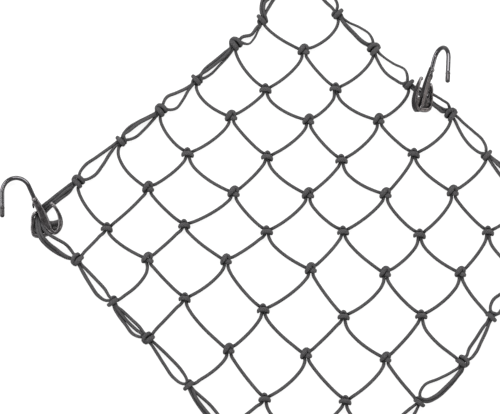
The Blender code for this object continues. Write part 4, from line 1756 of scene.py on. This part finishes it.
@dataclass(frozen=True)
class Studio:
    """A pale floor, soft boxes on both sides, beyond and above, and a camera straight above."""

    middle: tuple = (-0.0486, 0.0331)
    view_width: float = 0.486
    lens: float = 300.0
    sensor: float = 36.0
    focus_height: float = 0.0047
    far_clip: float = 100.0
    floor_size: float = 12.0
    horizon: float = 0.8
    zenith: float = 0.5
    rise: tuple = (0.35, 0.98)
    boxes: tuple = (
        SoftBox("left_box", (-1.7, 0.2, 1.1), (1.3, 0.5), 19.0),
        SoftBox("right_box", (1.7, 0.2, 1.1), (1.3, 0.5), 11.0),
        SoftBox("far_box", (0.0, 1.9, 2.0), (3.2, 1.5), 11.0),
        SoftBox("low_box", (1.9, -0.25, 0.2), (1.6, 0.36), 7.0, (1.0, 0.92, 0.86)),
        SoftBox("top_box", (0.0, -0.60, 2.2), (1.4, 0.16), 26.0),
    )

    def build(self) -> None:
        """Makes the floor, the lights, the world and the camera."""
        self.floor()
        self.lights()
        self.surround()
        self.camera()
        bpy.context.scene.view_settings.view_transform = "Standard"

    def floor(self) -> None:
        """A floor far larger than the net."""
        bpy.ops.mesh.primitive_plane_add(size=self.floor_size, location=(0, 0, 0))
        floor = bpy.context.object
        floor.name = "floor"
        floor.data.materials.append(FloorFinish().make())

    def lights(self) -> None:
        """The soft boxes; the ones at the sides stand low enough to edge the cords and wires."""
        for box in self.boxes:
            data = bpy.data.lights.new(box.name, "AREA")
            data.shape = "RECTANGLE"
            data.size, data.size_y = box.size
            data.energy = math.pi * box.size[0] * box.size[1] * box.radiance
            data.color = box.tint
            lamp = bpy.data.objects.new(box.name, data)
            lamp.location = box.place
            lamp.rotation_euler = (-Vector(box.place)).to_track_quat("-Z", "Y").to_euler()
            bpy.context.scene.collection.objects.link(lamp)

    def surround(self) -> None:
        """A pale surround, bright round the horizon and dimmer overhead.

        Its strength is horizon + (zenith - horizon) s, where s rises from 0 to 1 smoothly as the
        direction's height does.
        """
        world = bpy.data.worlds.new("surround")
        world.use_nodes = True
        nodes, links = world.node_tree.nodes, world.node_tree.links
        where = nodes.new("ShaderNodeTexCoord")
        parts = nodes.new("ShaderNodeSeparateXYZ")
        rise = nodes.new("ShaderNodeMapRange")
        rise.interpolation_type = "SMOOTHSTEP"
        links.new(where.outputs["Generated"], parts.inputs[0])
        links.new(parts.outputs[2], rise.inputs["Value"])
        span = (*self.rise, self.horizon, self.zenith)
        for socket, value in zip(rise.inputs[1:5], span):
            socket.default_value = value
        background = nodes["Background"]
        background.inputs["Color"].default_value = (1.0, 1.0, 1.0, 1.0)
        links.new(rise.outputs[0], background.inputs["Strength"])
        bpy.context.scene.world = world

    def camera(self) -> None:
        """A long lens straight above, framing view_width at the height of the cords."""
        data = bpy.data.cameras.new("camera")
        data.lens = self.lens
        data.sensor_width = self.sensor
        data.clip_end = self.far_clip
        camera = bpy.data.objects.new("camera", data)
        distance = self.view_width / self.sensor * self.lens
        camera.location = (*self.middle, self.focus_height + distance)
        bpy.context.scene.collection.objects.link(camera)
        bpy.context.scene.camera = camera


# ------------------------------------------------------------------ the whole net
def dress(item: bpy.types.Object, material: bpy.types.Material, slot: str, *nodes: str) -> None:
    """Gives a piece its finish and its body, and hides the solids that it stands for.

    Args:
        item: the piece.
        material: its finish.
        slot: the record's slot; not used.
        nodes: the solids.
    """
    item.data.materials.append(material)
    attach(item, "root")
    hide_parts(*nodes)
    log.info("%s: %d faces, stands for %s", item.name, len(item.data.polygons), ", ".join(nodes))


def main() -> None:
    """Builds the studio, the netting, the border and the hooks, in that order, and dresses them."""
    logging.basicConfig(level=logging.INFO, format="%(message)s")
    Studio().build()
    cord, wire, plastic = BraidFinish().make(), EnamelFinish().make(), MouldedFinish().make()
    netting, border = Netting().build(), Border().build()
    dress(netting, cord, "cord", "netting")
    dress(border, cord, "cord", "border_cord")
    for spot in HOOK_SPOTS:
        hook = Hook(spot)
        dress(hook.build_clip(), plastic, "clip", f"hook_clip_{spot.name}")
        dress(hook.build_wire(), wire, "wire", f"hook_wire_{spot.name}")
        dress(hook.build_tip(), plastic, "clip", f"hook_tip_{spot.name}")


if __name__ == "__main__":
    main()
